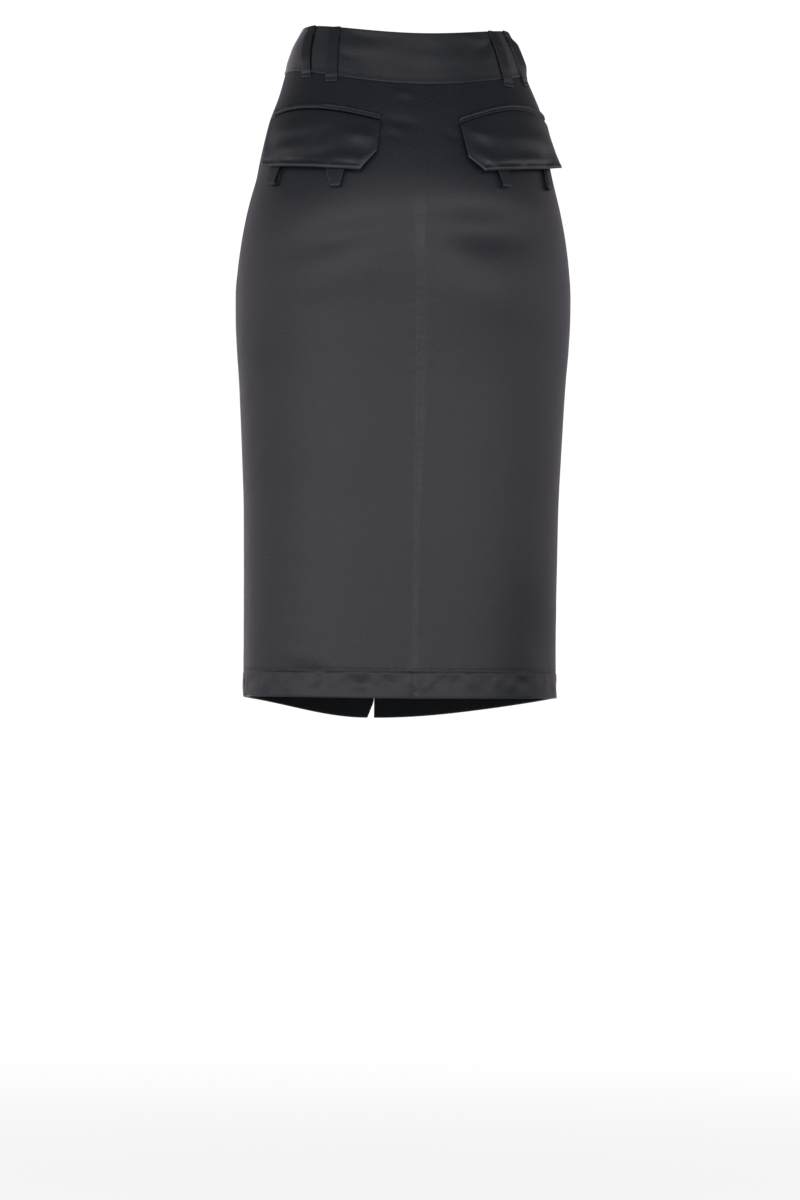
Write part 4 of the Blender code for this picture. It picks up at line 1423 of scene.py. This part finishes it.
@dataclass(frozen=True)
class Welt:
    """The piped welt over a flap: a roll, which a groove may part in two near the inner end."""

    form: SkirtForm
    side: Side
    sizes: FlapSizes
    height: float = 7.2
    strip: float = 11.0
    bulge: float = 3.2
    rolled: float = 1.0
    groove: float = 1.6
    split_to: float = 0.5
    off: float = 0.3
    round_in: float = 3.0
    strip_wall: float = 0.6
    rows: int = 27
    columns: int = 150

    def build(self, finishes: Finishes) -> Object:
        """Makes the welt and dresses it."""
        across = crowded(self.columns, 0.9)[None, :]
        tape, top, _ = self.sizes.place(across, np.zeros_like(across))
        length = self.sizes.outer_top - self.sizes.inner_top
        ends = np.minimum(across, 1.0 - across) * length
        full = rounding(ends, self.round_in)
        steps = np.linspace(0.0, 1.0, self.rows)[:, None]
        on_roll = rounding(np.minimum(steps, self.rolled - steps) * self.height, self.round_in)
        roll = self.bulge * on_roll * (steps < self.rolled) * (1.0 + 0.08 * wave(tape, 23.0, 3.0))
        split = self.groove * ease(across, self.split_to, self.split_to - 0.25) * mound(steps, 0.55, 0.14)
        strip = self.strip_wall * rounding((1.0 - steps) * self.height, 0.8) * (steps > 0.5 * self.rolled)
        bulge = np.maximum(roll - split, strip) * full
        squeeze = np.where(ends < self.round_in, 0.35 + 0.65 * full, 1.0)
        level = top + self.off + self.height * (0.5 + (0.5 - steps) * squeeze)
        signed = self.side.value * tape + 0.0 * steps
        front, rear = (self.form.point(signed, level, self.off + share * bulge) for share in (1.0, 0.0))
        flat = np.stack([signed, (1.0 - steps) * self.strip + 0.0 * signed], axis=-1)
        name = f"welt_{self.side.word}"
        return place_piece(two_faced(f"{name}_satin", front, rear, flat), "satin", name, finishes.satin)


class StrapPath(NamedTuple):
    """The middle line of a strap's cloth: tape, height and lift, its width, and its twist, a slope across."""

    tape: Array
    height: Array
    lift: Array
    width: Array
    twist: Array | float = 0.0


STRAP_STEPS = (-1.0, -0.985, -0.94, -0.86, -0.76, -0.64, -0.45, -0.2, 0.0)


def strap_section(thickness: float, groove: float) -> tuple[Array, Array]:
    """The closed section of a folded strap, turned clockwise from its left edge.

    Args:
        thickness: In millimetres.
        groove: Depth of the stitched valley beside each edge.

    Returns:
        Shares of half the width from -1 to 1, and heights over the middle of the cloth.
    """
    upper = np.array(STRAP_STEPS)
    upper = np.concatenate([upper, -upper[::-1][1:]])
    full = rounding((1.0 - np.abs(upper)) * 6.0, 0.75)
    over = thickness / 2 * full * (1.0 + 0.12 * (1.0 - upper**2))
    over = over - groove * mound(np.abs(upper), 0.74, 0.08)
    across = np.concatenate([upper, upper[::-1][1:]])
    return across, np.concatenate([over, -(thickness / 2 * full)[::-1][1:]])


def sweep_strap(
    name: str, form: SkirtForm, path: StrapPath, thickness: float, groove: float = 0.12
) -> Object:
    """Carries a strap's section along a path that may fold back on itself.

    Args:
        name: The piece's name.
        form: The skirt's form.
        path: The middle line of the cloth.
        thickness: Of the strap, in millimetres.
        groove: Depth of the stitched valley beside each edge.

    Returns:
        The closed strap.
    """
    across, over = strap_section(thickness, groove)
    tape, height, lift, width, twist = (np.broadcast_to(part, path.height.shape)[:, None] for part in path)
    rise, out = np.gradient(height, axis=0), np.gradient(lift, axis=0)
    size = np.hypot(rise, out)
    steps = np.hypot(np.diff(height, axis=0), np.diff(lift, axis=0))
    way = np.concatenate([((0.0,),), np.cumsum(steps, axis=0)])
    shut = np.ones_like(height)
    shut[[0, -1]] = 0.0
    over = over * shut
    aside = across * width / 2
    points = form.point(tape + aside, height + over * out / size, lift - over * rise / size + aside * twist)
    return grid_object(name, points, np.stack([aside, way + 0.0 * across], axis=-1), merge=True)


@dataclass(frozen=True)
class BeltLoop:
    """A belt loop: a strap that is turned under and sewn at both ends, and stands off the band between.

    The path starts under the top end, goes up and round the fold, down the front, and round the lower fold.
    """

    form: SkirtForm
    edges: Edges
    name: str
    angle_at_top: float
    angle_at_bottom: float
    width: float = 13.0
    below_seam: float = 8.5
    below_top: float = 1.0
    off: float = 0.9
    twist: float = 0.0
    wall: float = 0.85
    turned: float = 9.0
    above_seam: float = 0.65
    seat: float = 1.5
    band_step: float = 1.0
    waisting: float = 0.03

    FOLD_SHARE = 0.56
    FRONT_ROWS = 46
    FOLD_ROWS = 9
    END_ROWS = 8
    TACK_ROWS = (2, -3)
    TACK_STEPS = 40
    STEP = (-6.0, -1.0)
    RISES = (0.06, 0.30)
    FALLS = (0.90, 0.62)

    def _clear(self, down: Array) -> Array:
        """1 where the loop stands clear of the band, 0 at the tacks, by share of the way down."""
        return ease(down, *self.RISES) * ease(down, *self.FALLS)

    def path(self) -> StrapPath:
        """The middle line of the strap's cloth."""
        share = self.form.tape_at(self.angle_at_top, 0.0) / self.form.half_ring(0.0)
        top = float(self.edges.band_top(share)) - self.below_top
        seam = float(self.edges.band_seam(share)) + self.above_seam
        bottom = seam - self.below_seam
        radius = self.wall * self.FOLD_SHARE
        turn = np.radians(np.linspace(-90.0, 90.0, self.FOLD_ROWS))
        down = np.linspace(0.0, 1.0, self.FRONT_ROWS)
        front_height = top - radius + down * (bottom - top + 2.0 * radius)
        seat = self.seat + self.band_step * ease(front_height - seam, *self.STEP)
        front = seat + self.off * self._clear((top - front_height) / (top - bottom)) - self.wall / 2
        start = np.linspace(top - self.turned, top - radius, self.END_ROWS)[:-1]
        end = np.linspace(bottom + radius, bottom + 0.8 * self.turned, self.END_ROWS)[1:]
        height = np.concatenate([
            start,
            top - radius + radius * np.cos(turn)[:-1],
            front_height,
            bottom + radius - radius * np.cos(turn)[1:],
            end,
        ])
        lift = np.concatenate([
            np.full(len(start), front[0] - 2.0 * radius),
            front[0] - radius + radius * np.sin(turn)[:-1],
            front,
            front[-1] - radius + radius * np.sin(-turn)[1:],
            np.full(len(end), front[-1] - 2.0 * radius),
        ])
        place = np.clip((top - height) / (top - bottom), 0.0, 1.0)
        at_top = self.form.tape_at(self.angle_at_top, height)
        at_bottom = self.form.tape_at(self.angle_at_bottom, height)
        width = self.width * (1.0 - self.waisting * mound(place, 0.5, 0.25))
        twist = self.twist * self._clear(place)
        lift = lift + 6.0 * np.abs(twist)
        return StrapPath(at_top + place * (at_bottom - at_top), height, lift, width, twist)

    def tacks(self, stitch: Stitch) -> list[Array]:
        """Bar tacks across the loop, near its top and its bottom: close stitches that stand upright."""
        path = self.path()
        first = self.END_ROWS + self.FOLD_ROWS - 2
        across = np.linspace(-0.4, 0.4, self.TACK_STEPS) * self.width
        rows = []
        for place in self.TACK_ROWS:
            middle, height, lift = (part[first : first + self.FRONT_ROWS][place] for part in path[:3])
            level = np.full(self.TACK_STEPS, height)
            rows.append(stitch.row(self.form, middle + across, level, 0.0 * level + lift + self.wall / 2))
        return rows

    def build(self, finishes: Finishes) -> Object:
        """Makes the loop and dresses it."""
        piece = sweep_strap(f"{self.name}_satin", self.form, self.path(), self.wall)
        return place_piece(piece, "satin", self.name, finishes.firm)


@dataclass(frozen=True)
class StrapLoop:
    """A small strap folded in two below a flap: down the outer leg, round the fold, up the inner leg."""

    form: SkirtForm
    name: str
    side: Side
    tape: float
    hang: float
    lean: float
    rear_lean: float
    rear_shift: float
    width: float = 12.0
    taper: float = 0.12
    wall: float = 0.9
    fold: float = 1.85
    under_flap: float = 14.0
    off: float = 0.75
    pinch: float = 0.806
    leg_rows: int = 34
    fold_rows: int = 17
    groove: float = 0.05

    def build(self, finishes: Finishes) -> Object:
        """Makes the strap: the fold is a half circle, and the outer leg leans in above it."""
        sizes = FLAPS[self.side]
        across = np.array((self.tape - sizes.inner_top) / (sizes.outer_top - sizes.inner_top))
        top = float(sizes.bottom(across)) + self.under_flap
        leg = self.under_flap + self.hang - self.fold
        front = np.linspace(0.0, leg, self.leg_rows)
        turn = np.radians(np.linspace(90.0, -90.0, self.fold_rows))[1:-1]
        down = np.concatenate([front, leg + self.fold * np.cos(turn), front[::-1]])
        off = np.concatenate([np.ones(self.leg_rows), np.sin(turn), -np.ones(self.leg_rows)])
        outer = (1.0 + off) / 2.0
        lift = self.off + self.fold * (1.0 + off) - self.pinch * ease(down, 0.8 * leg, 0.0) * outer
        share = ease(down, 0.3 * leg, leg + self.fold)
        lean = self.lean * share * outer + (self.rear_shift + self.rear_lean * share) * (1.0 - outer)
        width = self.width * (1.0 - self.taper * ease(down, 0.4 * leg, leg + self.fold))
        path = StrapPath(self.side.value * self.tape + lean, top - down, lift, width)
        piece = sweep_strap(f"{self.name}_satin", self.form, path, self.wall, self.groove)
        return place_piece(piece, "satin", self.name, finishes.satin)


@dataclass(frozen=True)
class Fly:
    """What closes the skirt in front, under the right front's lap: shield, zip, and the fly's stitching."""

    form: SkirtForm
    right_front: Panel
    wall: float = 1.4
    gap: float = 0.3
    offset: float = 6.0
    zip_half: float = 12.0
    zip_wall: float = 0.8
    tape_wall: float = 0.5
    top: float = -38.0
    bottom: float = -180.0
    chain_top: float = -49.0
    shield_left: float = 30.0
    shield_right: float = 22.0
    shield_top: float = -33.0
    shield_bottom: float = -186.0
    stitch_line: float = 29.0
    stitch_turn: float = -158.0
    tooth_pitch: float = 0.75
    tooth: tuple[float, float, float] = (3.0, 0.84, 0.9)
    tooth_reach: float = 0.7

    TAPE_RIDGES = (Ridge(0.25, 3.2, 0.5), Ridge(0.15, 11.2, 0.5))
    TOOTH_STEPS = (-1.0, -0.9, -0.4, 0.4, 0.9, 1.0)
    SLIDER = (7.0, 9.0, 1.3)
    SLIDER_LEVEL = -42.5
    SLIDER_TAPER = 0.25
    PULL = (4.0, 20.0, 1.0)
    PULL_LEVEL = -49.5
    PULL_TAPER = -0.18

    def _sheet(self, name: str, across: Array, height: Array, lift: Array) -> Object:
        """A sheet under the fly, on a grid of distances from the centre front and heights."""
        points = self.form.point(across - self.form.half_ring(height), height, lift)
        plane = np.stack([across + 0.0 * height, height + 0.0 * across], axis=-1)
        piece = grid_object(f"{name}_sheet", points, plane)
        give_wall(piece, self.tape_wall)
        return piece

    def shield(self, finishes: Finishes) -> Object:
        """The strip of cloth behind the zip."""
        across = np.linspace(-self.shield_left, self.shield_right, 40)[None, :]
        height = np.linspace(self.shield_top, self.shield_bottom, 70)[:, None]
        lift = -self.wall - self.zip_wall - 3.0 * self.gap + 0.15 * wave(across + height, 31.0, 2.0)
        piece = self._sheet("fly_shield", across, height, lift)
        return place_piece(piece, "satin", "fly_shield", finishes.satin)

    def zip_tape(self, finishes: Finishes) -> Object:
        """The zip's woven tape: ridges beside the chain, and a turned edge."""
        across = np.linspace(-self.zip_half, self.zip_half, 49)[None, :]
        height = np.linspace(self.top, self.bottom, 80)[:, None]
        lift = sum(ridge.at(np.abs(across)) for ridge in self.TAPE_RIDGES) + 0.0 * height
        piece = self._sheet("zip", across + self.offset, height, lift - self.wall - 2.0 * self.gap - 0.1)
        return place_piece(piece, "zip_tape", "zip", finishes.tape)

    def teeth(self, finishes: Finishes) -> Object:
        """The zip's teeth: short rounded bars that reach over the middle by turns from the left and right."""
        height = np.arange(self.chain_top, self.bottom + 2.0, -self.tooth_pitch)[:, None, None]
        hand = np.where(np.arange(len(height)) % 2 == 0, 1.0, -1.0)[:, None, None]
        share = np.array(self.TOOTH_STEPS)[None, :, None]
        turn = turns_round(THREAD_SIDES)
        full = (1.0 - share**4) ** 0.5
        length, width, thickness = (size / 2 for size in self.tooth)
        tape = -self.form.half_ring(height) + self.offset + self.tooth_reach * hand + share * length
        lift = -self.wall - self.gap - 0.25 + full * np.sin(turn) * thickness
        points = self.form.point(tape, height + full * np.cos(turn) * width, lift)
        return place_piece(beads_object("zip_teeth", points), "zip_metal", "", finishes.metal)

    def slider(self, finishes: Finishes) -> Object:
        """The slider: a closed shell, wide at the top and narrow below, with a rounded edge."""
        lift = self.SLIDER[2] / 2
        plate = self._plate("zip_slider", self.SLIDER_LEVEL, self.SLIDER, self.SLIDER_TAPER, lift)
        return place_piece(plate, "zip_metal", "zip_slider", finishes.metal)

    def pull(self, finishes: Finishes) -> Object:
        """The pull tab that hangs from the slider."""
        lift = self.SLIDER[2] + self.gap + self.PULL[2] / 2
        plate = self._plate("zip_pull", self.PULL_LEVEL, self.PULL, self.PULL_TAPER, lift)
        return place_piece(plate, "zip_metal", "zip_pull", finishes.metal)

    def _plate(self, name: str, level: float, size: Sequence[float], taper: float, lift: float) -> Object:
        """A rounded plate: superellipses stacked along its length, whose width changes with the taper.

        Args:
            name: The CAD node that it replaces.
            level: Height of its middle.
            size: Width, length and thickness.
            taper: How much wider its top is than its bottom, as a share.
            lift: How far its middle stands off the zip's face.

        Returns:
            The plate.
        """
        tape = float(-self.form.half_ring(level) + self.offset)
        spot = Spot(self.form, tape, level, lift - self.wall - self.gap)
        share = np.sin(np.linspace(-0.5, 0.5, 33) * np.pi)[None, :, None]
        turn = turns_round(40)
        full = np.clip(1.0 - np.abs(share) ** 5, 0.0, None) ** 0.4
        wide = full * (1.0 + taper * share) / (1.0 + abs(taper))
        across = boxed(np.cos(turn), 0.6) * wide * size[0] / 2
        thick = boxed(np.sin(turn), 0.6) * full * size[2] / 2
        dish = 1.0 - 0.25 * mound(across, 0.0, size[0] / 5) * mound(share, 0.0, 0.5)
        return beads_object(f"{name}_metal", spot.points(across, share * size[1] / 2, thick * dish))

    def stitching(self, finishes: Finishes) -> Object:
        """The fly's line of stitches: straight down, then a quarter of an ellipse in to the edge."""
        turn = np.radians(np.linspace(0.0, 82.0, 30))
        start = float(self.right_front.lines.edges.band_seam(-1.0)) - 2.0
        straight = np.linspace(start, self.stitch_turn, 60)[:-1]
        round_end = (self.right_front.lines.FLY_END - self.stitch_turn) * np.sin(turn)
        height = np.concatenate([straight, self.stitch_turn + round_end])
        before = self.stitch_line * np.concatenate([np.ones(len(straight)), np.cos(turn)])
        near, far, _ = self.right_front.seams(height, np.zeros_like(height))
        tape, lift = self.right_front.on_face(before / np.abs(near - far), height)
        return sew("fly_stitches", [Stitch().row(self.form, tape, height, lift)], finishes)

    def build(self, finishes: Finishes) -> list[Object]:
        """Makes every piece of the closing but the button."""
        makers = (self.shield, self.zip_tape, self.teeth, self.slider, self.pull, self.stitching)
        return [maker(finishes) for maker in makers]


@dataclass(frozen=True)
class Button:
    """A four-hole button with a raised rim, sewn to the band's left end, in the lap's buttonhole.

    RIM holds pairs of radius and height, from the edge of the well over the rim to the underside's middle.
    """

    form: SkirtForm
    level: float = -6.0
    from_end: float = 15.0
    face_lift: float = 3.9
    hole: float = 0.8
    hole_away: float = 1.35
    hole_depth: float = 1.3
    hole_edge: float = 0.15
    well: float = 4.2
    well_floor: float = 1.65
    well_dish: float = 0.15
    thread_rise: float = 1.75
    thread_drop: float = 0.9
    thread_past: float = 0.35
    thread_half: tuple[float, float] = (0.22, 0.25)
    slit_half: float = 11.0
    stitch_lift: float = 3.75

    RIM = (
        (4.6, 1.75), (5.0, 1.95), (5.4, 2.2), (5.8, 2.4), (6.3, 2.55), (6.8, 2.6), (7.2, 2.55), (7.55, 2.4),
        (7.8, 2.15), (7.95, 1.8), (8.0, 1.4), (7.95, 0.8), (7.75, 0.35), (7.4, 0.1), (6.5, 0.0), (4.0, 0.0),
        (0.0, 0.0),
    )
    THREAD_PLACES = (-1.55, -1.15, 1.15, 1.55)

    def _middle(self) -> float:
        """The button's place on the tape."""
        return float(-self.form.half_ring(self.level)) - self.from_end

    def _spot(self) -> Spot:
        """Where the button's underside touches the band."""
        return Spot(self.form, self._middle(), self.level, self.face_lift)

    def build(self, finishes: Finishes) -> Object:
        """Makes the button: a profile of radius and height turned about its axis, with four pits."""
        inner = np.linspace(0.0, self.well, 24)
        rim, rise = np.array(self.RIM).T
        floor = self.well_floor - self.well_dish * ease(inner, self.well, 0.0)
        radius = np.concatenate([inner, rim])[None, :, None]
        out = np.concatenate([floor, rise])[None, :, None]
        turn = turns_round(96)
        along, up = radius * np.cos(turn), radius * np.sin(turn)
        away = np.hypot(np.abs(along) - self.hole_away, np.abs(up) - self.hole_away)
        is_face = np.arange(radius.shape[1])[None, :, None] < len(inner)
        pits = ease(away, self.hole + self.hole_edge, self.hole - self.hole_edge)
        points = self._spot().points(along, up, out - is_face * self.hole_depth * pits)
        return place_piece(beads_object("button_horn", points), "button", "button", finishes.horn)

    def thread(self, finishes: Finishes) -> Object:
        """Two pairs of thread bars across the holes, each a bar bowed up in the middle."""
        share = np.linspace(-1.0, 1.0, 13)[None, :, None]
        turn = turns_round(THREAD_SIDES)
        full = np.clip(1.0 - share**8, 0.0, None) ** 0.5
        side = np.array(self.THREAD_PLACES)[:, None, None]
        up = side + full * np.cos(turn) * self.thread_half[0]
        out = self.thread_rise - self.thread_drop * share**6 + full * np.sin(turn) * self.thread_half[1]
        points = self._spot().points(share * (self.hole_away + self.thread_past), up, out)
        return place_piece(beads_object("button_thread", points), "satin", "", finishes.thread)

    def buttonhole(self, finishes: Finishes) -> Object:
        """The buttonhole's edge of close stitches, a flat ring round the slit."""
        turn = np.linspace(0.0, 2.0 * np.pi, 161)
        tape = self._middle() + self.slit_half * boxed(np.cos(turn), 0.35)
        height = self.level + boxed(np.sin(turn), 0.5)
        stitch = Stitch(pitch=0.5, length=1.7, width=0.5, thickness=0.4, sag=0.1, across=True)
        row = stitch.row(self.form, tape, height, np.full(len(turn), self.stitch_lift))
        return sew("buttonhole_stitches", [row], finishes)


@dataclass(frozen=True)
class Softbox:
    """A soft light: a lit rectangle that faces the skirt, unseen by the camera."""

    name: str
    azimuth: float
    elevation: float
    distance: float
    width: float
    height: float
    radiance: float

    TARGET = (0.0, 0.0, -0.36)
    TINT = (1.09, 0.965, 1.07)

    def build(self) -> None:
        """Makes the light. Its power in watts is radiance x pi x its area."""
        lamp = bpy.data.lights.new(self.name, "AREA")
        lamp.shape = "RECTANGLE"
        lamp.size, lamp.size_y = self.width, self.height
        lamp.energy = self.radiance * math.pi * self.width * self.height
        lamp.color = self.TINT
        holder = add_object(self.name, lamp)
        turn, rise = math.radians(self.azimuth), math.radians(self.elevation)
        away = Vector((math.sin(turn) * math.cos(rise), math.cos(turn) * math.cos(rise), math.sin(rise)))
        holder.location = Vector(self.TARGET) + away * self.distance
        holder.rotation_euler = away.to_track_quat("Z", "Y").to_euler()
        holder.visible_camera = False


@dataclass(frozen=True)
class Studio:
    """The photograph's view: camera, soft lights, pale floor and white surroundings."""

    yaw: float = 7.0
    distance: float = 5.0
    camera_height: float = -0.725
    pitch: float = 1.853
    roll: float = 0.6
    lens: float = 145.6
    floor_level: float = -1.155
    floor_reach: float = 2.6
    floor_size: float = 25.0
    # Painted shadow: the tone that the camera sees on the floor under the skirt, which rises to floor_far at
    # floor_reach.
    floor_shadow_tone: float = 0.90
    floor_far: float = 1.02
    floor_grey: float = 0.5
    floor_glow: float = 0.35
    overhead: float = 0.12
    band_light: float = 0.76
    band_full: float = 6.0
    band_ends: float = 32.0
    lean: float = 0.06
    white: float = 1.05
    flag_azimuth: float = -62.0
    flag_distance: float = 1.1
    flag_width: float = 0.9
    flag_top: float = -0.55

    BOXES = (
        Softbox("Key left", 34.0, 0.0, 3.2, 2.9, 1.35, 1.05),
        Softbox("Key right", -24.0, 0.0, 3.2, 2.9, 1.35, 0.95),
        Softbox("Side left", 84.0, 0.0, 3.2, 1.8, 1.35, 0.25),
        Softbox("Side right", -78.0, 0.0, 3.2, 1.8, 1.35, 0.25),
        Softbox("Upper", 5.0, 31.0, 3.2, 3.0, 1.8, 0.42),
        Softbox("Front", 180.0, 0.0, 3.4, 2.6, 1.3, 0.6),
    )

    def camera(self) -> None:
        """Makes the camera, level but for a small pitch and roll, behind the skirt."""
        turn, pitch, roll = (math.radians(angle) for angle in (self.yaw, self.pitch, self.roll))
        behind = Vector((math.sin(turn), math.cos(turn), 0.0))
        ahead = Vector((0.0, 0.0, math.sin(pitch))) - behind * math.cos(pitch)
        level = Vector((-math.cos(turn), math.sin(turn), 0.0))
        upright = level.cross(ahead)
        right = level * math.cos(roll) + upright * math.sin(roll)
        up = upright * math.cos(roll) - level * math.sin(roll)
        lens = bpy.data.cameras.new("Camera")
        lens.sensor_width, lens.sensor_fit, lens.lens = 36.0, "AUTO", self.lens
        lens.dof.use_dof = False
        lens.clip_end = 60.0
        place = behind * self.distance + Vector((0.0, 0.0, self.camera_height))
        axes = Matrix((right, up, -ahead)).transposed()
        holder = add_object("Camera", lens)
        holder.matrix_world = Matrix.Translation(place) @ axes.to_4x4()
        bpy.context.scene.camera = holder

    @staticmethod
    def _stage_sheet(name: str, corners: Sequence[Sequence[float]], material: Material) -> Object:
        """A rectangle of the studio's own, which isn't part of the skirt."""
        mesh = bpy.data.meshes.new(name)
        mesh.from_pydata(corners, [], [(0, 1, 2, 3)])
        mesh.materials.append(material)
        sheet = add_object(name, mesh)
        return sheet

    def floor(self) -> None:
        """Makes the pale floor, which meets the white surroundings in the camera's eyes."""
        graph = Surface("Pale floor with painted shadow")
        place = graph.node("ShaderNodeTexCoord").outputs["Object"]
        level = graph.stretch(place, (1.0, 1.0, 0.0))
        away = graph.node("ShaderNodeVectorMath", {0: level}, operation="LENGTH").outputs["Value"]
        # The tone that the camera sees is a painted soft shadow: darker under the skirt, lighter out to
        # floor_reach, where it meets the white surroundings.
        reach = {0: away, 2: self.floor_reach}
        share = graph.node("ShaderNodeMapRange", reach, interpolation_type="SMOOTHSTEP").outputs[0]
        tone = graph.maths("MULTIPLY_ADD", share, self.floor_far - self.floor_shadow_tone, self.floor_shadow_tone)
        tone = graph.maths("MULTIPLY_ADD", graph.centred(graph.noise(place, 3.0, 4.0)), 0.004, tone)
        seen, unseen = graph.unseen()
        grey = graph.maths("MULTIPLY", unseen, self.floor_grey)
        glow = graph.maths("MULTIPLY", unseen, self.floor_glow)
        graph.fill(graph.shader, {
            "Base Color": graph.node("ShaderNodeCombineColor", {0: grey, 1: grey, 2: grey}).outputs[0],
            "Roughness": 1.0,
            "Specular IOR Level": 0.0,
            "Emission Color": (1.0,) * 4,
            "Emission Strength": graph.maths("MULTIPLY_ADD", seen, tone, glow),
        })
        signs = ((-1, -1), (1, -1), (1, 1), (-1, 1))
        corners = [(x * self.floor_size, y * self.floor_size, self.floor_level) for x, y in signs]
        self._stage_sheet("floor", corners, graph.material)

    def flag(self) -> None:
        """Stands a low black panel on the right, unseen by the camera, that darkens the lower right."""
        graph = Surface("Flag")
        graph.fill(graph.shader, {"Base Color": (0.004, 0.004, 0.004, 1.0), "Specular IOR Level": 0.0})
        turn = math.radians(self.flag_azimuth)
        middle = Vector((math.sin(turn), math.cos(turn), 0.0)) * self.flag_distance
        aside = Vector((math.cos(turn), -math.sin(turn), 0.0)) * self.flag_width / 2
        levels = (self.floor_level, self.floor_level, self.flag_top, self.flag_top)
        corners = [(*(middle + sign * aside).xy, level) for sign, level in zip((-1, 1, 1, -1), levels)]
        self._stage_sheet("flag", corners, graph.material).visible_camera = False

    def surroundings(self) -> None:
        """White to the camera; to all else a soft band of light round the horizon, dim overhead.

        The band's strength falls by a smooth step between two elevations, and is a little more on the left.
        """
        world = bpy.data.worlds.new("Studio")
        world.use_nodes = True
        graph = Graph(world.node_tree)
        way = graph.node("ShaderNodeTexCoord").outputs["Generated"]
        parts = graph.node("ShaderNodeSeparateXYZ", {0: way}).outputs
        rise = graph.maths("MULTIPLY", graph.maths("ARCSINE", parts["Z"]), 180.0 / math.pi)
        band = graph.node(
            "ShaderNodeMapRange",
            {0: rise, 1: self.band_ends, 2: self.band_full, 3: self.overhead, 4: self.band_light},
            interpolation_type="SMOOTHSTEP",
        ).outputs[0]
        lean = graph.maths("MULTIPLY_ADD", parts["X"], self.lean, 1.0)
        seen, unseen = graph.unseen()
        light = graph.maths("MULTIPLY", graph.maths("MULTIPLY", band, lean), unseen)
        graph.fill(world.node_tree.nodes["Background"], {
            "Color": graph.mixed(seen, Softbox.TINT, (1.0,) * 3),
            "Strength": graph.maths("MULTIPLY_ADD", seen, self.white, light),
        })
        bpy.context.scene.world = world

    def build(self) -> None:
        """Sets up the whole studio."""
        bpy.context.scene.view_settings.view_transform = "Standard"
        self.camera()
        for box in self.BOXES:
            box.build()
        self.floor()
        self.flag()
        self.surroundings()


def declare_cut(piece: Object) -> None:
    """Reads a piece's flat measures and the first corner and number of corners of each face, and keeps none
    of it.

    Args:
        piece: The piece, with its flat measures in metres as its UV map.
    """
    flat = np.empty(2 * len(piece.data.loops))
    piece.data.uv_layers[FLAT_MAP].data.foreach_get("uv", flat)
    flat = flat.reshape(-1, 2)
    starts, totals = np.empty((2, len(piece.data.polygons)), dtype=int)
    piece.data.polygons.foreach_get("loop_start", starts)
    piece.data.polygons.foreach_get("loop_total", totals)


class Skirt:
    """The whole skirt, built piece by piece."""

    BELT_LOOPS = (
        ("belt_loop_back_inner_left", 52.8, 46.8, 0.0),
        ("belt_loop_back_outer_left", 72.0, 62.6, 0.06),
        ("belt_loop_back_inner_right", -54.2, -54.2, -0.08),
        ("belt_loop_back_outer_right", -69.0, -71.5, -0.26),
        ("belt_loop_front_inner_left", 129.0, 132.0, 0.0),
        ("belt_loop_front_outer_left", 110.0, 115.0, 0.0),
        ("belt_loop_front_inner_right", -129.0, -132.0, 0.0),
        ("belt_loop_front_outer_right", -110.0, -115.0, 0.0),
    )
    WELTS = {Side.LEFT: {}, Side.RIGHT: {"bulge": 2.8, "rolled": 0.78, "groove": 0.0}}
    STRAPS = (
        ("strap_loop_inner_left", Side.LEFT, 86.0, 18.0, 0.0, 1.0, 1.5, 19.0, 0.42),
        ("strap_loop_outer_left", Side.LEFT, 160.0, 18.0, 7.0, 3.0, 1.0, 15.0, 0.10),
        ("strap_loop_inner_right", Side.RIGHT, 86.0, 17.0, -5.0, 1.5, -5.5, 12.0, 0.12),
        ("strap_loop_outer_right", Side.RIGHT, 160.0, 21.0, -1.0, -2.0, -1.0, 12.0, 0.12),
    )

    def __init__(self) -> None:
        """Works out the form, the seams and the finishes."""
        self.form = SkirtForm()
        self.edges = Edges()
        self.lines = SeamLines(self.form, self.edges)
        self.finishes = Finishes()
        self.panels = {
            (half, side): Panel(self.form, self.lines, side, half) for half in Half for side in Side
        }

    def panels_and_hem(self) -> None:
        """The four panels and the stitches of their hems."""
        rows = []
        across = np.linspace(0.004, 0.996, 500)
        for panel in self.panels.values():
            declare_cut(panel.build(self.finishes))
            height = self.edges.hem_stitches(panel.share_round(across))
            tape, lift = panel.on_face(across, height)
            rows.append(Stitch().row(self.form, tape, height, lift))
        sew("hem_stitches", rows, self.finishes)

    def band(self) -> None:
        """The waistband with its belt loops and their bar tacks."""
        waistband = Waistband(self.form, self.edges).build(self.finishes)
        declare_cut(waistband)
        rows = []
        tack = Stitch(pitch=0.55, length=1.6, width=0.5, thickness=0.45, sag=0.15, across=True)
        for name, at_top, at_bottom, twist in self.BELT_LOOPS:
            loop = BeltLoop(self.form, self.edges, name, at_top, at_bottom, twist=twist)
            declare_cut(loop.build(self.finishes))
            rows += loop.tacks(tack)
        sew("belt_loop_tacks", rows, self.finishes)

    def pockets(self) -> None:
        """The flaps, welts and strap loops of the back pockets."""
        for side in Side:
            flap = Flap(self.form, side, FLAPS[side]).build(self.finishes)
            declare_cut(flap)
            welt = Welt(self.form, side, FLAPS[side], **self.WELTS[side])
            declare_cut(welt.build(self.finishes))
        for name, side, *place in self.STRAPS:
            strap = StrapLoop(self.form, name, side, *place).build(self.finishes)
            declare_cut(strap)

    def closing(self) -> None:
        """The fly, zip and button."""
        fly = Fly(self.form, self.panels[Half.FRONT, Side.RIGHT])
        shield, tape, *_ = fly.build(self.finishes)
        declare_cut(shield)
        declare_cut(tape)
        button = Button(self.form)
        button.build(self.finishes)
        button.thread(self.finishes)
        button.buttonhole(self.finishes)


def main() -> None:
    """Builds the studio and the skirt, in order."""
    logging.basicConfig(level=logging.INFO, format="%(message)s")
    Studio().build()
    skirt = Skirt()
    skirt.panels_and_hem()
    skirt.band()
    skirt.pockets()
    skirt.closing()
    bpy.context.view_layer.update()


if __name__ == "__main__":
    main()
